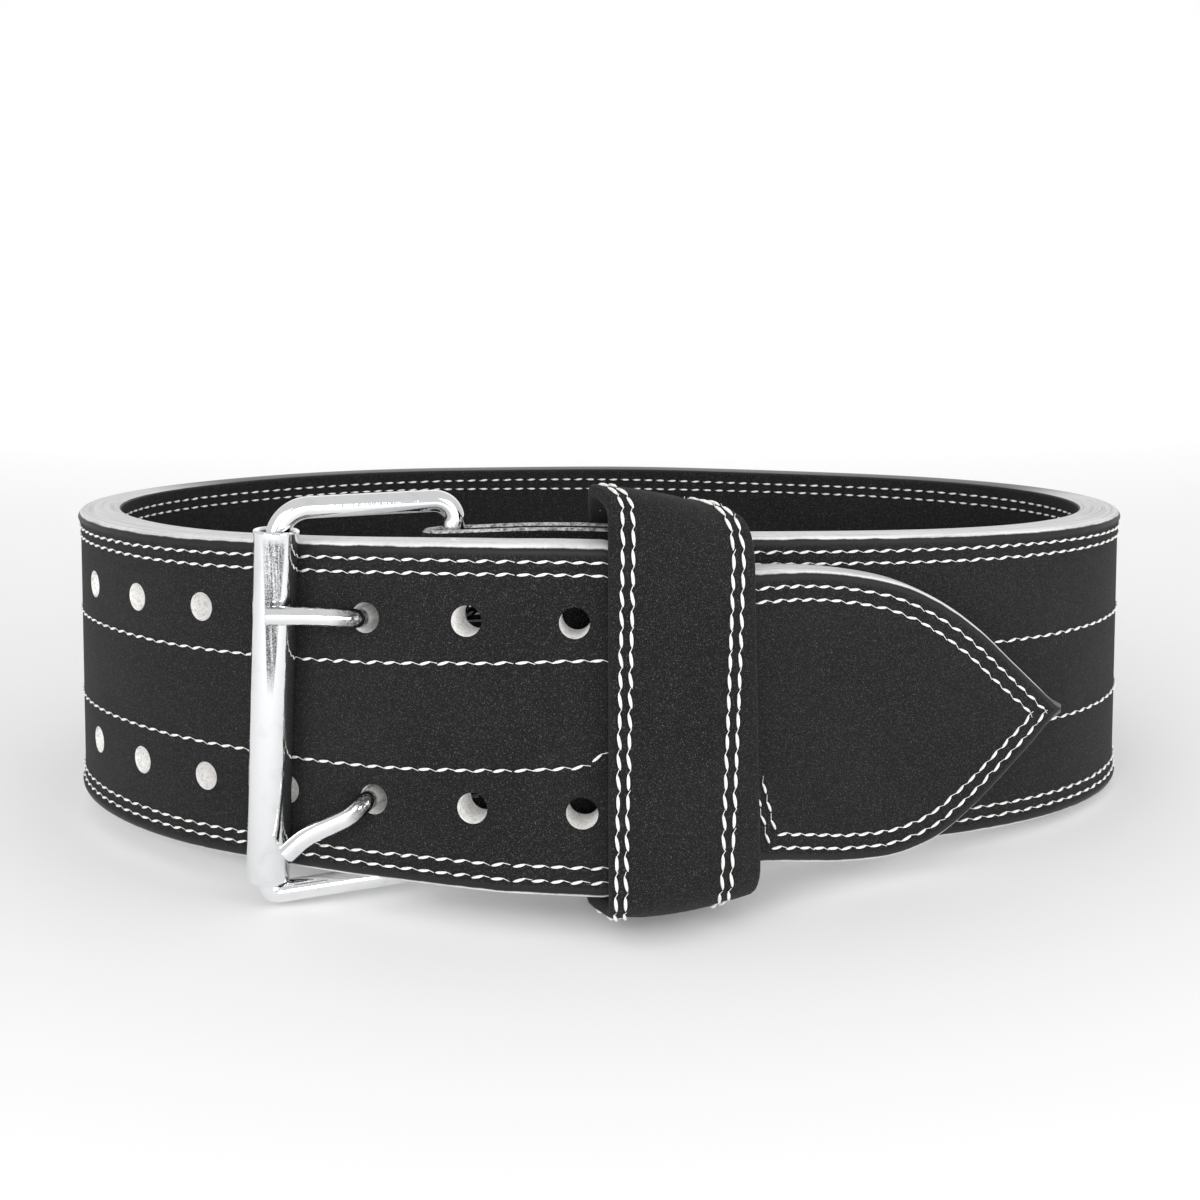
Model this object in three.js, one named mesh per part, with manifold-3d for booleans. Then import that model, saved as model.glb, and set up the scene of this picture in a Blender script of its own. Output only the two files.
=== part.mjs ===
// A weightlifting belt: one thick leather strap, closed by a double prong roller buckle
// and a wide leather keeper. It is fastened and stands on its lower edge.
// Millimetres, +Z up, the front with the buckle towards -Y.
import * as THREE from "three";
import { mergeVertices } from "three/addons/utils/BufferGeometryUtils.js";
import Module from "manifold-3d";

const wasm = await Module();
wasm.setup();

// Strap
const strapWidth = 100;
const strapThickness = 13;
const rimFlare = 1.8; // how far the rim's outer corner stands proud of the face
const rimHeight = 6; // height of the flared band along each rim
const rimBevel = 1.6;
const tailLap = 22; // how far the folded leather laps over the skived end
const skiveRamp = 6; // length over which the strap comes up to its full thickness
const clearance = 0.3; // between pieces that touch

// Loop, seen from above, and how it stands
const loopReach = 180; // from the middle of the loop to the strap's middle at the sides
// Bearing in degrees from +X, middle line's radius as a share of loopReach, rise of the
// strap's middle as a share of strapWidth, and lean of the wall, inwards over its height
const loopTable = [
  [-180, 1.004, 0.002, 0.02],
  [-157.5, 0.842, -0.002, 0],
  [-135, 0.674, 0.012, 0.005],
  [-112.5, 0.526, 0.027, 0.04],
  [-90, 0.486, 0.024, 0.1],
  [-67.5, 0.495, 0.012, 0.06],
  [-45, 0.552, -0.001, 0.01],
  [-22.5, 0.735, -0.016, -0.02],
  [0, 0.999, -0.023, 0.01],
  [22.5, 1.069, -0.018, 0.015],
  [45, 0.946, -0.013, 0],
  [67.5, 0.813, -0.003, 0],
  [90, 0.767, 0.005, 0],
  [112.5, 0.796, 0.006, 0],
  [135, 0.902, 0.006, 0],
  [157.5, 0.998, 0.004, 0.01],
];

// Tongue, which climbs over the buckle's bar and settles on the strap under it
const tongueLength = 205.3; // from the bar to the tip
const climbFrom = 214; // bearings between which the strap climbs over the bar
const climbTo = 256;
const settleFrom = 276; // bearings between which it comes down on the strap
const settleTo = 318;
// Distance from the tip and half width as shares of strapWidth, and drop of its middle
const tongueTable = [
  [0, 0.016, -0.077],
  [0.03, 0.033, -0.077],
  [0.09, 0.084, -0.079],
  [0.21, 0.182, -0.079],
  [0.34, 0.289, -0.076],
  [0.47, 0.374, -0.073],
  [0.6, 0.424, -0.062],
  [0.8, 0.449, -0.043],
  [1, 0.443, -0.021],
  [1.15, 0.432, -0.008],
  [1.3, 0.445, 0],
  [1.58, 0.5, 0],
];

// Holes, counted from the one that holds the prongs, towards the tip
const holeDiameter = 9;
const holePitch = 30.2;
const firstHole = -6;
const lastHole = 3;
const holeRowShares = [0.279, -0.258]; // heights above the strap's middle, of strapWidth
const longStretchFrom = -1; // from this hole on, the lower row is punched a little long
const lowerRowShift = 2.4;
const holeToBar = 21.1; // along the strap, from the prong hole to over the bar

// Buckle
const barBearing = -118.05; // where the bar lies on the loop
const wireDiameter = 6.6;
const frameAbove = 10; // from the strap's upper edge to the wire's middle
const frameBelow = 6.1; // and from its lower edge, at the roller
const barBelow = 3.5; // and at the bar
const frameReach = 51.1; // from the bar to the roller, middle to middle
const frameCorners = [9, 6.6, 6.6, 4]; // bend radii of the wire's middle, clockwise from the roller's top
const frameTwist = 0.055; // the buckle hangs a little out of square in its own plane
const rollerDiameter = 12.7;
const rollerBore = 9.8;
const rollerTopGap = 6; // from the roller's ends to the middle of the frame's arms
const rollerBottomGap = 4.5;
const rollerGap = 1.3; // to the strap, so that the roller turns freely
const prongDiameter = 5.6;
const prongPlay = 0.4; // between the bar and a prong's eye
const prongTipShares = [0.302, -0.41]; // heights on the roller, of strapWidth
const prongOverhangs = [2, -7]; // past the roller's nearest side

// Folded leather that holds the bar
const foldThickness = 3;
const foldShort = 3; // how much narrower it is than the strap
const foldPlay = 0.7;
const foldSlack = 2; // between the bar and the fold's nose
const foldRise = 3; // it stands a little higher than the strap
const foldReach = 68; // from the bar to the ends of its two legs
const slotHeight = 7.4; // windows for the prongs
const slotReach = 12;

// Keeper
const keeperThickness = 3.8;
const keeperFrom = 49.4; // from the bar along the strap to the keeper's near edge
const keeperLength = 35.3;
const keeperSkew = 6; // its edges lie further left behind its face
const keeperSkewDepth = 14; // how far behind the face the skew is complete
const keeperBackPlay = 1.5; // above the folded leather
// Share of the keeper's length, then as shares of strapWidth the play above and below the
// strap, the play in front of the tongue and the inner radius of its lower front corner
const keeperTable = [
  [0, 0.126, 0.018, 0.016, 0.042],
  [0.3, 0.11, 0.013, 0.011, 0.06],
  [0.65, 0.088, 0.008, 0.006, 0.075],
  [1, 0.068, 0.005, 0.004, 0.085],
];
const keeperTopCorner = 12; // inner radius of the upper front corner
const keeperBackCorner = 2.2;

// Fineness of the facets
const strapStep = 9.5;
const tongueStep = 5;
const wireSides = 12;
const prongSides = 10;
const rollerSides = 24;
const holeSides = 14;

const halfWidth = strapWidth / 2;
const halfThickness = strapThickness / 2;
const barRadius = wireDiameter / 2;
const rollerRadius = rollerDiameter / 2;
const prongRadius = prongDiameter / 2;
const holeRows = holeRowShares.map((share) => share * strapWidth);
const prongTips = prongTipShares.map((share) => share * strapWidth);
const frameTop = halfWidth + frameAbove;
const frameBottom = -halfWidth - frameBelow;
const barBottom = -halfWidth - barBelow;
const eyeRadius = barRadius + prongPlay + prongRadius;
const foldHeight = strapWidth - foldShort;
const foldInside = barRadius + foldPlay;
const tailThickness = 2 * (foldInside - 1.5 * clearance); // the skived end between the fold's legs
const turn = 360;
const rad = THREE.MathUtils.degToRad;
const deg = THREE.MathUtils.radToDeg;

// A smooth periodic value through the evenly spaced rows of the loop table
function around(column, bearing) {
  const count = loopTable.length;
  let sum = 0;
  for (const row of loopTable) {
    const lag = rad(bearing - row[0]);
    const wave = Math.tan(lag / 2);
    const peak = Math.abs(Math.sin(lag / 2)) < 1e-9;
    sum += row[column] * (peak ? 1 : Math.sin((count * lag) / 2) / (count * wave));
  }
  return sum;
}

// A value between the rows of a table
function between(table, column, at) {
  if (at <= table[0][0]) return table[0][column];
  for (let i = 1; i < table.length; i++) {
    if (at > table[i][0]) continue;
    const share = (at - table[i - 1][0]) / (table[i][0] - table[i - 1][0]);
    return THREE.MathUtils.lerp(table[i - 1][column], table[i][column], share);
  }
  return table[table.length - 1][column];
}

const ease = (at, from, to) => THREE.MathUtils.smoothstep(at, from, to);

// Middle line of the strap where it lies on the loop, in plan
function loopPoint(bearing) {
  const reach = loopReach * around(1, bearing);
  return new THREE.Vector2(Math.cos(rad(bearing)), Math.sin(rad(bearing))).multiplyScalar(reach);
}

function directionOf(curve, at, step) {
  return curve(at + step).sub(curve(at - step)).normalize();
}

const outwards = (along) => new THREE.Vector2(along.y, -along.x);

// The tongue lies over the bar and the prongs' eyes, then one thickness outside the strap
const seatLift = strapThickness + clearance;
const barPlan = loopPoint(barBearing);

function strapPointFor(crest, bearing) {
  const climb = crest * ease(bearing, climbFrom, climbTo);
  const lift = climb - (crest - seatLift) * ease(bearing, settleFrom, settleTo);
  const side = outwards(directionOf(loopPoint, bearing, 0.05));
  return loopPoint(bearing).addScaledVector(side, lift);
}

// How far the tongue has to lift at its crest to pass clear of the eyes round the bar
function clearingCrest() {
  const wanted = eyeRadius + prongRadius + clearance + halfThickness;
  let low = seatLift;
  let high = 3 * wanted;
  for (let i = 0; i < 30; i++) {
    const crest = (low + high) / 2;
    let nearest = Infinity;
    for (let bearing = climbFrom; bearing < settleFrom; bearing += 1) {
      nearest = Math.min(nearest, strapPointFor(crest, bearing).distanceTo(barPlan));
    }
    if (nearest < wanted) low = crest;
    else high = crest;
  }
  return high;
}

const crestLift = clearingCrest();
const strapPoint = (bearing) => strapPointFor(crestLift, bearing);

// The strap's middle line measured by its length, from the bar round to the tip
const trackStep = 0.5;
const track = [];
for (let bearing = barBearing, length = 0, last; bearing < turn; bearing += trackStep) {
  const point = strapPoint(bearing);
  length += last ? point.distanceTo(last) : 0;
  track.push({ bearing, length, point });
  last = point;
}

function trackAt(length) {
  let i = track.findIndex((spot) => spot.length > length);
  if (i < 1) i = i < 0 ? track.length - 1 : 1;
  const share = (length - track[i - 1].length) / (track[i].length - track[i - 1].length);
  return track[i - 1].bearing + share * trackStep;
}

// A spot on the strap: its middle point in plan, the way along it and the way out of it
function spotAt(length) {
  const bearing = trackAt(length);
  const along = directionOf(strapPoint, bearing, 0.25);
  return { point: strapPoint(bearing), along, out: outwards(along) };
}

const overBar = track.find((spot) => spot.bearing >= barBearing + turn).length;
const prongHole = overBar - holeToBar;
const tipLength = overBar + tongueLength;

// Every point stands on the loop's rise and leans with its wall, so that pieces which lie
// against each other stay so
function place(plan, height) {
  const bearing = deg(Math.atan2(plan.y, plan.x));
  const lean = around(3, bearing) * height;
  return new THREE.Vector3(
    plan.x - Math.cos(rad(bearing)) * lean,
    plan.y - Math.sin(rad(bearing)) * lean,
    height + strapWidth * around(2, bearing),
  );
}

// A solid through rings of points, closed on itself or with a flat cap at each end
function loft(rings, closed = false) {
  const count = rings[0].length;
  const positions = rings.flat().flatMap((point) => point.toArray());
  const index = [];
  for (let i = 0; i < rings.length - (closed ? 0 : 1); i++) {
    const next = (i + 1) % rings.length;
    for (let j = 0; j < count; j++) {
      const k = (j + 1) % count;
      index.push(i * count + j, next * count + j, next * count + k);
      index.push(i * count + j, next * count + k, i * count + k);
    }
  }
  const last = (rings.length - 1) * count;
  for (let j = 1; j < count - 1 && !closed; j++) {
    index.push(0, j, j + 1, last, last + j + 1, last + j);
  }
  const geometry = new THREE.BufferGeometry();
  geometry.setAttribute("position", new THREE.Float32BufferAttribute(positions, 3));
  geometry.setIndex(index);
  return facingOut(geometry);
}

function facingOut(geometry) {
  const points = geometry.getAttribute("position");
  const index = geometry.getIndex();
  const corner = [new THREE.Vector3(), new THREE.Vector3(), new THREE.Vector3()];
  let volume = 0;
  for (let i = 0; i < index.count; i += 3) {
    corner.forEach((point, j) => point.fromBufferAttribute(points, index.getX(i + j)));
    volume += corner[0].dot(corner[1].clone().cross(corner[2]));
  }
  if (volume < 0) index.array.reverse();
  return geometry;
}

function toSolid(geometry) {
  const plain = geometry.clone();
  plain.deleteAttribute("normal");
  plain.deleteAttribute("uv");
  const merged = mergeVertices(plain, 1e-5);
  return new wasm.Manifold(new wasm.Mesh({
    numProp: 3,
    vertProperties: new Float32Array(merged.getAttribute("position").array),
    triVerts: new Uint32Array(merged.getIndex().array),
  }));
}

function cutAway(geometry, cutters) {
  let solid = toSolid(geometry);
  for (const cutter of cutters) solid = solid.subtract(toSolid(cutter));
  const mesh = solid.getMesh();
  const cut = new THREE.BufferGeometry();
  cut.setAttribute("position", new THREE.Float32BufferAttribute(mesh.vertProperties, 3));
  cut.setIndex(Array.from(mesh.triVerts));
  return cut;
}

// Strap
function tongueShape(length) {
  const toTip = (tipLength - length) / strapWidth;
  return {
    half: strapWidth * between(tongueTable, 1, toTip),
    middle: strapWidth * between(tongueTable, 2, toTip),
  };
}

// Section across the strap, from the lower outer corner up and back down the inner face
function strapSection(length, thickness, flared) {
  const { half, middle } = tongueShape(length);
  const band = Math.min(rimHeight, half * 0.6);
  const bevel = Math.min(rimBevel, half * 0.3);
  const face = thickness / 2;
  const flare = rimFlare * flared;
  const inner = flare * 0.4;
  const outline = [
    [face + flare - bevel, -half],
    [face + flare, bevel - half],
    [face, band - half],
    [face, half - band],
    [face + flare, half - bevel],
    [face + flare - bevel, half],
    [bevel / 2 - face - inner, half],
    [-face - inner, half - bevel / 2],
    [-face, half - band],
    [-face, band - half],
    [-face - inner, bevel / 2 - half],
    [bevel / 2 - face - inner, -half],
  ];
  const { point, out } = spotAt(length);
  return outline.map(([depth, height]) =>
    place(point.clone().addScaledVector(out, depth), height + middle));
}

// The rims flare most at the sides and back, and hardly where the strap is doubled
const flareStart = foldReach + 20;
const flareEnd = prongHole - 60;

function flareAt(length) {
  const rise = ease(length, flareStart, flareStart + 60);
  return rise * (1 - 0.75 * ease(length, flareEnd, prongHole));
}

function strapGeometry() {
  const tailStart = foldReach - tailLap;
  const rampStart = foldReach + 2 * clearance;
  const rings = [
    strapSection(tailStart, tailThickness, 0),
    strapSection((tailStart + rampStart) / 2, tailThickness, 0),
    strapSection(rampStart, tailThickness, 0),
  ];
  const tongueStart = tipLength - 1.6 * strapWidth;
  const fullStart = rampStart + skiveRamp;
  const steps = Math.round((tongueStart - fullStart) / strapStep);
  for (let i = 0; i < steps; i++) {
    const length = THREE.MathUtils.lerp(fullStart, tongueStart, i / steps);
    rings.push(strapSection(length, strapThickness, flareAt(length)));
  }
  const tongueSteps = Math.round((tipLength - tongueStart) / tongueStep);
  for (let i = 0; i <= tongueSteps; i++) {
    const length = THREE.MathUtils.lerp(tongueStart, tipLength, i / tongueSteps);
    const fade = 1 - ease(length, tipLength - 0.3 * strapWidth, tipLength);
    rings.push(strapSection(length, strapThickness, flareAt(length) * fade));
  }
  return loft(rings);
}

function holeSpot(number, row) {
  const shifted = row === 1 && number >= longStretchFrom ? lowerRowShift : 0;
  return prongHole + number * holePitch + shifted;
}

function holeCutter(number, row) {
  const { point, along, out } = spotAt(holeSpot(number, row));
  const reach = strapThickness;
  const rings = [-reach, reach].map((depth) => {
    const ring = [];
    for (let i = 0; i < holeSides; i++) {
      const angle = rad((turn * i) / holeSides);
      const plan = point.clone().addScaledVector(along, (holeDiameter / 2) * Math.cos(angle));
      plan.addScaledVector(out, depth);
      ring.push(place(plan, holeRows[row] + (holeDiameter / 2) * Math.sin(angle)));
    }
    return ring;
  });
  return loft(rings);
}

function punchedStrap() {
  const cutters = [];
  for (let number = firstHole; number <= lastHole; number++) {
    cutters.push(holeCutter(number, 0), holeCutter(number, 1));
  }
  return cutAway(strapGeometry(), cutters);
}

// Where the roller stands, in plan; it lies against the strap's face
function rollerPlanAt(length) {
  const { point, out } = spotAt(length);
  return point.clone().addScaledVector(out, halfThickness + rollerGap + rollerRadius);
}

function rollerLength() {
  let near = prongHole - 3 * holePitch;
  let far = overBar;
  for (let i = 0; i < 40; i++) {
    const middle = (near + far) / 2;
    if (rollerPlanAt(middle).distanceTo(barPlan) > frameReach) near = middle;
    else far = middle;
  }
  return near;
}

const rollerSpot = rollerLength();
const rollerPlan = rollerPlanAt(rollerSpot);
const twistWay = spotAt(rollerSpot).along.clone().multiplyScalar(frameTwist);

// A point of the buckle, which hangs out of square by its twist
function placeBuckle(plan, height, share = 1) {
  return place(plan.clone().addScaledVector(twistWay, height * share), height);
}

// A wire along points, with its section turned as little as may be
function wireRings(points, closed, radius, sides) {
  const count = points.length;
  const rings = [];
  let side = null;
  for (let i = 0; i < count; i++) {
    const before = points[closed ? (i + count - 1) % count : Math.max(i - 1, 0)];
    const after = points[closed ? (i + 1) % count : Math.min(i + 1, count - 1)];
    const along = after.clone().sub(before).normalize();
    if (!side) {
      side = new THREE.Vector3(0, 0, 1);
      if (Math.abs(along.z) > 0.7) side.set(0, 1, 0);
    }
    side.addScaledVector(along, -side.dot(along)).normalize();
    const up = along.clone().cross(side);
    const ring = [];
    for (let j = 0; j < sides; j++) {
      const angle = rad((turn * j) / sides);
      ring.push(points[i].clone()
        .addScaledVector(side, radius * Math.cos(angle))
        .addScaledVector(up, radius * Math.sin(angle)));
    }
    rings.push(ring);
  }
  return rings;
}

// Clockwise from the roller's top
const corners = [
  placeBuckle(rollerPlan, frameTop),
  placeBuckle(barPlan, frameTop),
  placeBuckle(barPlan, barBottom),
  placeBuckle(rollerPlan, frameBottom),
];

// The frame is one wire bent round four corners
function frameGeometry() {
  const bendSteps = 7;
  const points = [];
  corners.forEach((corner, i) => {
    const bend = frameCorners[i];
    const back = corners[(i + 3) % 4].clone().sub(corner).normalize();
    const on = corners[(i + 1) % 4].clone().sub(corner).normalize();
    const start = corner.clone().addScaledVector(back, bend);
    const centre = start.clone().addScaledVector(on, bend);
    for (let j = 0; j <= bendSteps; j++) {
      const angle = (Math.PI / 2) * (j / bendSteps);
      points.push(centre.clone()
        .addScaledVector(on, -bend * Math.cos(angle))
        .addScaledVector(back, -bend * Math.sin(angle)));
    }
  });
  const normal = corners[1].clone().sub(corners[0]).cross(corners[2].clone().sub(corners[1])).normalize();
  const rings = points.map((point, i) => {
    const after = points[(i + 1) % points.length];
    const before = points[(i + points.length - 1) % points.length];
    const along = after.clone().sub(before).normalize();
    const side = along.clone().cross(normal).normalize();
    const ring = [];
    for (let j = 0; j < wireSides; j++) {
      const angle = rad((turn * (j + 0.5)) / wireSides);
      ring.push(point.clone()
        .addScaledVector(side, barRadius * Math.cos(angle))
        .addScaledVector(normal, barRadius * Math.sin(angle)));
    }
    return ring;
  });
  return loft(rings, true);
}

// The roller is a plain round tube on the wire between the frame's arms
function rollerGeometry() {
  const top = corners[0];
  const bottom = corners[3];
  const reach = top.distanceTo(bottom);
  const ends = [
    bottom.clone().lerp(top, rollerBottomGap / reach),
    top.clone().lerp(bottom, rollerTopGap / reach),
  ];
  const outer = wireRings(ends, false, rollerRadius, rollerSides);
  const inner = wireRings(ends, false, rollerBore / 2, rollerSides);
  return loft(outer[0].map((_, j) => [outer[0][j], outer[1][j], inner[1][j], inner[0][j]]), true);
}

// A prong starts as an eye round the bar, runs behind the strap, comes out through its hole
// and lies on the roller
function prongGeometry(row) {
  const hole = spotAt(holeSpot(0, row));
  const height = holeRows[row];
  const tipHeight = prongTips[row];
  const bar = barPlan.clone().addScaledVector(twistWay, height);
  const roller = rollerPlan.clone().addScaledVector(twistWay, tipHeight);
  const toRoller = roller.clone().sub(bar).normalize();
  const front = outwards(toRoller).multiplyScalar(-1);
  const points = [];
  for (let angle = 10; angle <= 270; angle += 26) {
    const plan = bar.clone()
      .addScaledVector(toRoller, eyeRadius * Math.cos(rad(angle)))
      .addScaledVector(front, eyeRadius * Math.sin(rad(angle)));
    points.push(place(plan, height));
  }
  const throughHole = (depth, shift) => hole.point.clone()
    .addScaledVector(hole.out, depth)
    .addScaledVector(hole.along, shift);
  const climb = (depth, shift, share) =>
    points.push(place(throughHole(depth, shift), THREE.MathUtils.lerp(height, tipHeight, share)));
  // The prong is pulled to the roller's side of its hole and bends over its rim
  climb(-halfThickness - 4, 1.4, 0);
  climb(-halfThickness, 0.3, 0);
  climb(0, -0.5, 0);
  climb(halfThickness, -0.6, 0);
  const exitDepth = halfThickness + prongRadius + 1.6;
  climb(exitDepth - 1.7, -1.6, 0.04);
  climb(exitDepth, -5, 0.12);
  const exit = throughHole(exitDepth, -5);
  // From there it runs straight to touch the roller
  const reach = rollerRadius + clearance + prongRadius;
  const far = exit.distanceTo(roller);
  const run = roller.clone().sub(exit).normalize().rotateAround(new THREE.Vector2(), Math.asin(reach / far));
  const seat = exit.clone().addScaledVector(run, Math.sqrt(far * far - reach * reach));
  points.push(place(exit.clone().lerp(seat, 0.5), THREE.MathUtils.lerp(height, tipHeight, 0.55)));
  points.push(place(seat.clone().addScaledVector(run, prongOverhangs[row]), tipHeight));
  const curve = new THREE.CatmullRomCurve3(points, false, "centripetal");
  return loft(wireRings(curve.getPoints(56), false, prongRadius, prongSides));
}

// The folded leather: a strip round the bar, its two legs gripping the strap's skived end
function foldGeometry() {
  const middle = foldInside + foldThickness / 2;
  const legSteps = 8;
  const noseSteps = 8;
  const line = [];
  const base = (length) => {
    const bearing = trackAt(length);
    const along = directionOf(loopPoint, bearing, 0.25);
    return { point: loopPoint(bearing), out: outwards(along), along };
  };
  for (let i = 0; i < legSteps; i++) {
    const { point, out } = base(foldReach * (1 - i / legSteps));
    line.push({ plan: point.clone().addScaledVector(out, middle), way: out.clone(), share: i / legSteps });
  }
  const bar = base(0);
  const nose = barPlan.clone().addScaledVector(bar.along, -foldSlack);
  for (let i = 0; i <= noseSteps; i++) {
    const angle = Math.PI * (i / noseSteps);
    const way = bar.out.clone().multiplyScalar(Math.cos(angle)).addScaledVector(bar.along, -Math.sin(angle));
    line.push({ plan: nose.clone().addScaledVector(way, middle), way, share: 1 });
  }
  for (let i = 1; i <= legSteps; i++) {
    const { point, out } = base((foldReach * i) / legSteps);
    line.push({
      plan: point.clone().addScaledVector(out, -middle),
      way: out.clone().negate(),
      share: 1 - i / legSteps,
    });
  }
  const half = foldThickness / 2;
  const rings = line.map(({ plan, way, share }) =>
    [[half, -1], [half, 1], [-half, 1], [-half, -1]].map(([depth, end]) =>
      placeBuckle(
        plan.clone().addScaledVector(way, depth),
        foldRise + (end * foldHeight) / 2,
        ease(share, 0.4, 1),
      )));
  const slots = holeRows.map((height) => {
    const ends = [height - slotHeight / 2, height + slotHeight / 2];
    return loft(ends.map((end) => [[-1, -1], [1, -1], [1, 1], [-1, 1]].map(([a, b]) =>
      placeBuckle(barPlan.clone()
        .addScaledVector(bar.along, a * slotReach)
        .addScaledVector(bar.out, b * slotReach), end))));
  });
  return cutAway(loft(rings), slots);
}

// The keeper: a wide loop round the strap, the folded leather and the tongue
function keeperGeometry() {
  const widthSteps = 4;
  const profiles = [];
  for (let i = 0; i <= widthSteps; i++) profiles.push(keeperProfile(i / widthSteps));
  const rings = profiles[0].map((_, k) => {
    const outer = profiles.map((profile) => profile[k].outer);
    const inner = profiles.map((profile) => profile[k].inner);
    return [...outer, ...inner.reverse()];
  });
  return loft(rings, true);
}

function keeperProfile(share) {
  const bearing = trackAt(keeperFrom + keeperLength * share);
  const along = directionOf(loopPoint, bearing, 0.25);
  const out = outwards(along);
  const middle = loopPoint(bearing);
  const backFace = -Math.max(halfThickness, foldInside + foldThickness) - 3 * clearance;
  const lift = strapPoint(bearing + turn).distanceTo(middle);
  const size = (column) => strapWidth * between(keeperTable, column, share);
  const frontFace = lift + halfThickness + rimFlare * 0.3 + size(3);
  const top = halfWidth + size(1);
  const backTop = foldRise + foldHeight / 2 + keeperBackPlay;
  const bottom = -halfWidth - size(2);
  const bends = [
    [frontFace, bottom, size(4), -90],
    [frontFace, top, keeperTopCorner, 0],
    [backFace, backTop, keeperBackCorner, 90],
    [backFace, bottom, keeperBackCorner, 180],
  ];
  const arcSteps = 5;
  const profile = [];
  for (const [depth, height, radius, from] of bends) {
    const centre = [depth - Math.sign(depth) * radius, height - Math.sign(height) * radius];
    for (let i = 0; i <= arcSteps; i++) {
      const angle = rad(from + (90 * i) / arcSteps);
      const spot = (reach) => {
        const depth = centre[0] + reach * Math.cos(angle);
        const back = keeperSkew * ease(frontFace - depth, 0, keeperSkewDepth);
        const plan = middle.clone().addScaledVector(out, depth).addScaledVector(along, -back);
        return place(plan, centre[1] + reach * Math.sin(angle));
      };
      profile.push({ outer: spot(radius + keeperThickness), inner: spot(radius) });
    }
  }
  return profile;
}

function leather(colour) {
  return new THREE.MeshStandardMaterial({ color: colour, roughness: 0.95, metalness: 0 });
}

function steel(colour) {
  return new THREE.MeshStandardMaterial({ color: colour, roughness: 0.12, metalness: 1 });
}

const belt = new THREE.Group();

function add(name, geometry, material) {
  const mesh = new THREE.Mesh(geometry, material);
  mesh.name = name;
  belt.add(mesh);
}

add("belt_strap", punchedStrap(), leather(0x2a2a2b));
add("buckle_fold", foldGeometry(), leather(0x3a3836));
add("keeper", keeperGeometry(), leather(0x2a2a2b));
add("buckle_frame", frameGeometry(), steel(0xd4d5d8));
add("buckle_roller", rollerGeometry(), steel(0xd8d9dc));
add("prong_upper", prongGeometry(0), steel(0xd4d5d8));
add("prong_lower", prongGeometry(1), steel(0xd4d5d8));

// The belt stands on three places: the frame's lower arm, and its lower edge right and behind
const armShare = 1 - frameCorners[3] / frameReach;
const armHeight = THREE.MathUtils.lerp(barBottom, frameBottom, armShare) - barRadius;
const armFoot = placeBuckle(barPlan.clone().lerp(rollerPlan, armShare), armHeight);
const rightFoot = place(loopPoint(8), -halfWidth);
const backFoot = place(loopPoint(78), -halfWidth);
const floorUp = rightFoot.clone().sub(armFoot).cross(backFoot.clone().sub(armFoot)).normalize();
belt.quaternion.setFromUnitVectors(floorUp, new THREE.Vector3(0, 0, 1));
belt.updateMatrixWorld(true);
const box = new THREE.Box3().setFromObject(belt, true);
const middle = box.getCenter(new THREE.Vector3());
belt.position.set(-middle.x, -middle.y, -box.min.z);

export default belt;
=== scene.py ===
# A fastened weightlifting belt: napped black suede over thick leather, pale painted edges,
# white stitching, punched holes, a chrome roller buckle with two prongs and a wide keeper.
import math

import bmesh
import bpy
import numpy as np
from mathutils import Matrix, Vector


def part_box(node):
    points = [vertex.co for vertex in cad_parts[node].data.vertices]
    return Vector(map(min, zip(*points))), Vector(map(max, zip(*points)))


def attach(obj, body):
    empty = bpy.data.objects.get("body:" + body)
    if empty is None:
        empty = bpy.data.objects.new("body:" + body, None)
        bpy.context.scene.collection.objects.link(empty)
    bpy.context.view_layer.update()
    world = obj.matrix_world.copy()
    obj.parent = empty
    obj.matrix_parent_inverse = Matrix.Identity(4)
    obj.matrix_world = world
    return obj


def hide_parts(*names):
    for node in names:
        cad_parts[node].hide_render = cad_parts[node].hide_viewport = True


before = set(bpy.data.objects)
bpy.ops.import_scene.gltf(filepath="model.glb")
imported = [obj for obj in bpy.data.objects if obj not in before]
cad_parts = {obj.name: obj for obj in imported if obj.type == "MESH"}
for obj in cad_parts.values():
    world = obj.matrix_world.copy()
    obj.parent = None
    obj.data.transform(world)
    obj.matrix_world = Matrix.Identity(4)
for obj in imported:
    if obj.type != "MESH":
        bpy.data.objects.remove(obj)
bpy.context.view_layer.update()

# Shapes are worked out in millimetres in the belt's own frame, where the strap's middle lies
# near height 0, and set down in the row frame in metres at the end.
MM = 0.001

# Strap
STRAP_WIDTH = 100.0
STRAP_THICKNESS = 13.0
RIM_FLARE = 2.3
RIM_HEIGHT = 6.0
RIM_CURL = 0.6
INNER_FLARE = 0.4  # the inner rim flares this share of the outer one
FLARE_START = 20.0  # past the fold's end
FLARE_RUN = 60.0
TONGUE_FLARE_LOSS = 0.75  # lost over the same run before the prong hole
TIP_FLARE_FADE = 0.3  # share of the width, back from the tip
OUTER_ROUND = 2.6  # corner radii of the painted edge
INNER_ROUND = 1.4
EDGE_DOME = 0.35
DOME_FULL_AT = 10.0  # half width from which the edge is fully domed
INNER_PAINT = 3.0  # the paint goes this much less far round the inner corner
TAIL_LAP = 22.0
SKIVE_RAMP = 6.0
CLEARANCE = 0.3

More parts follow.
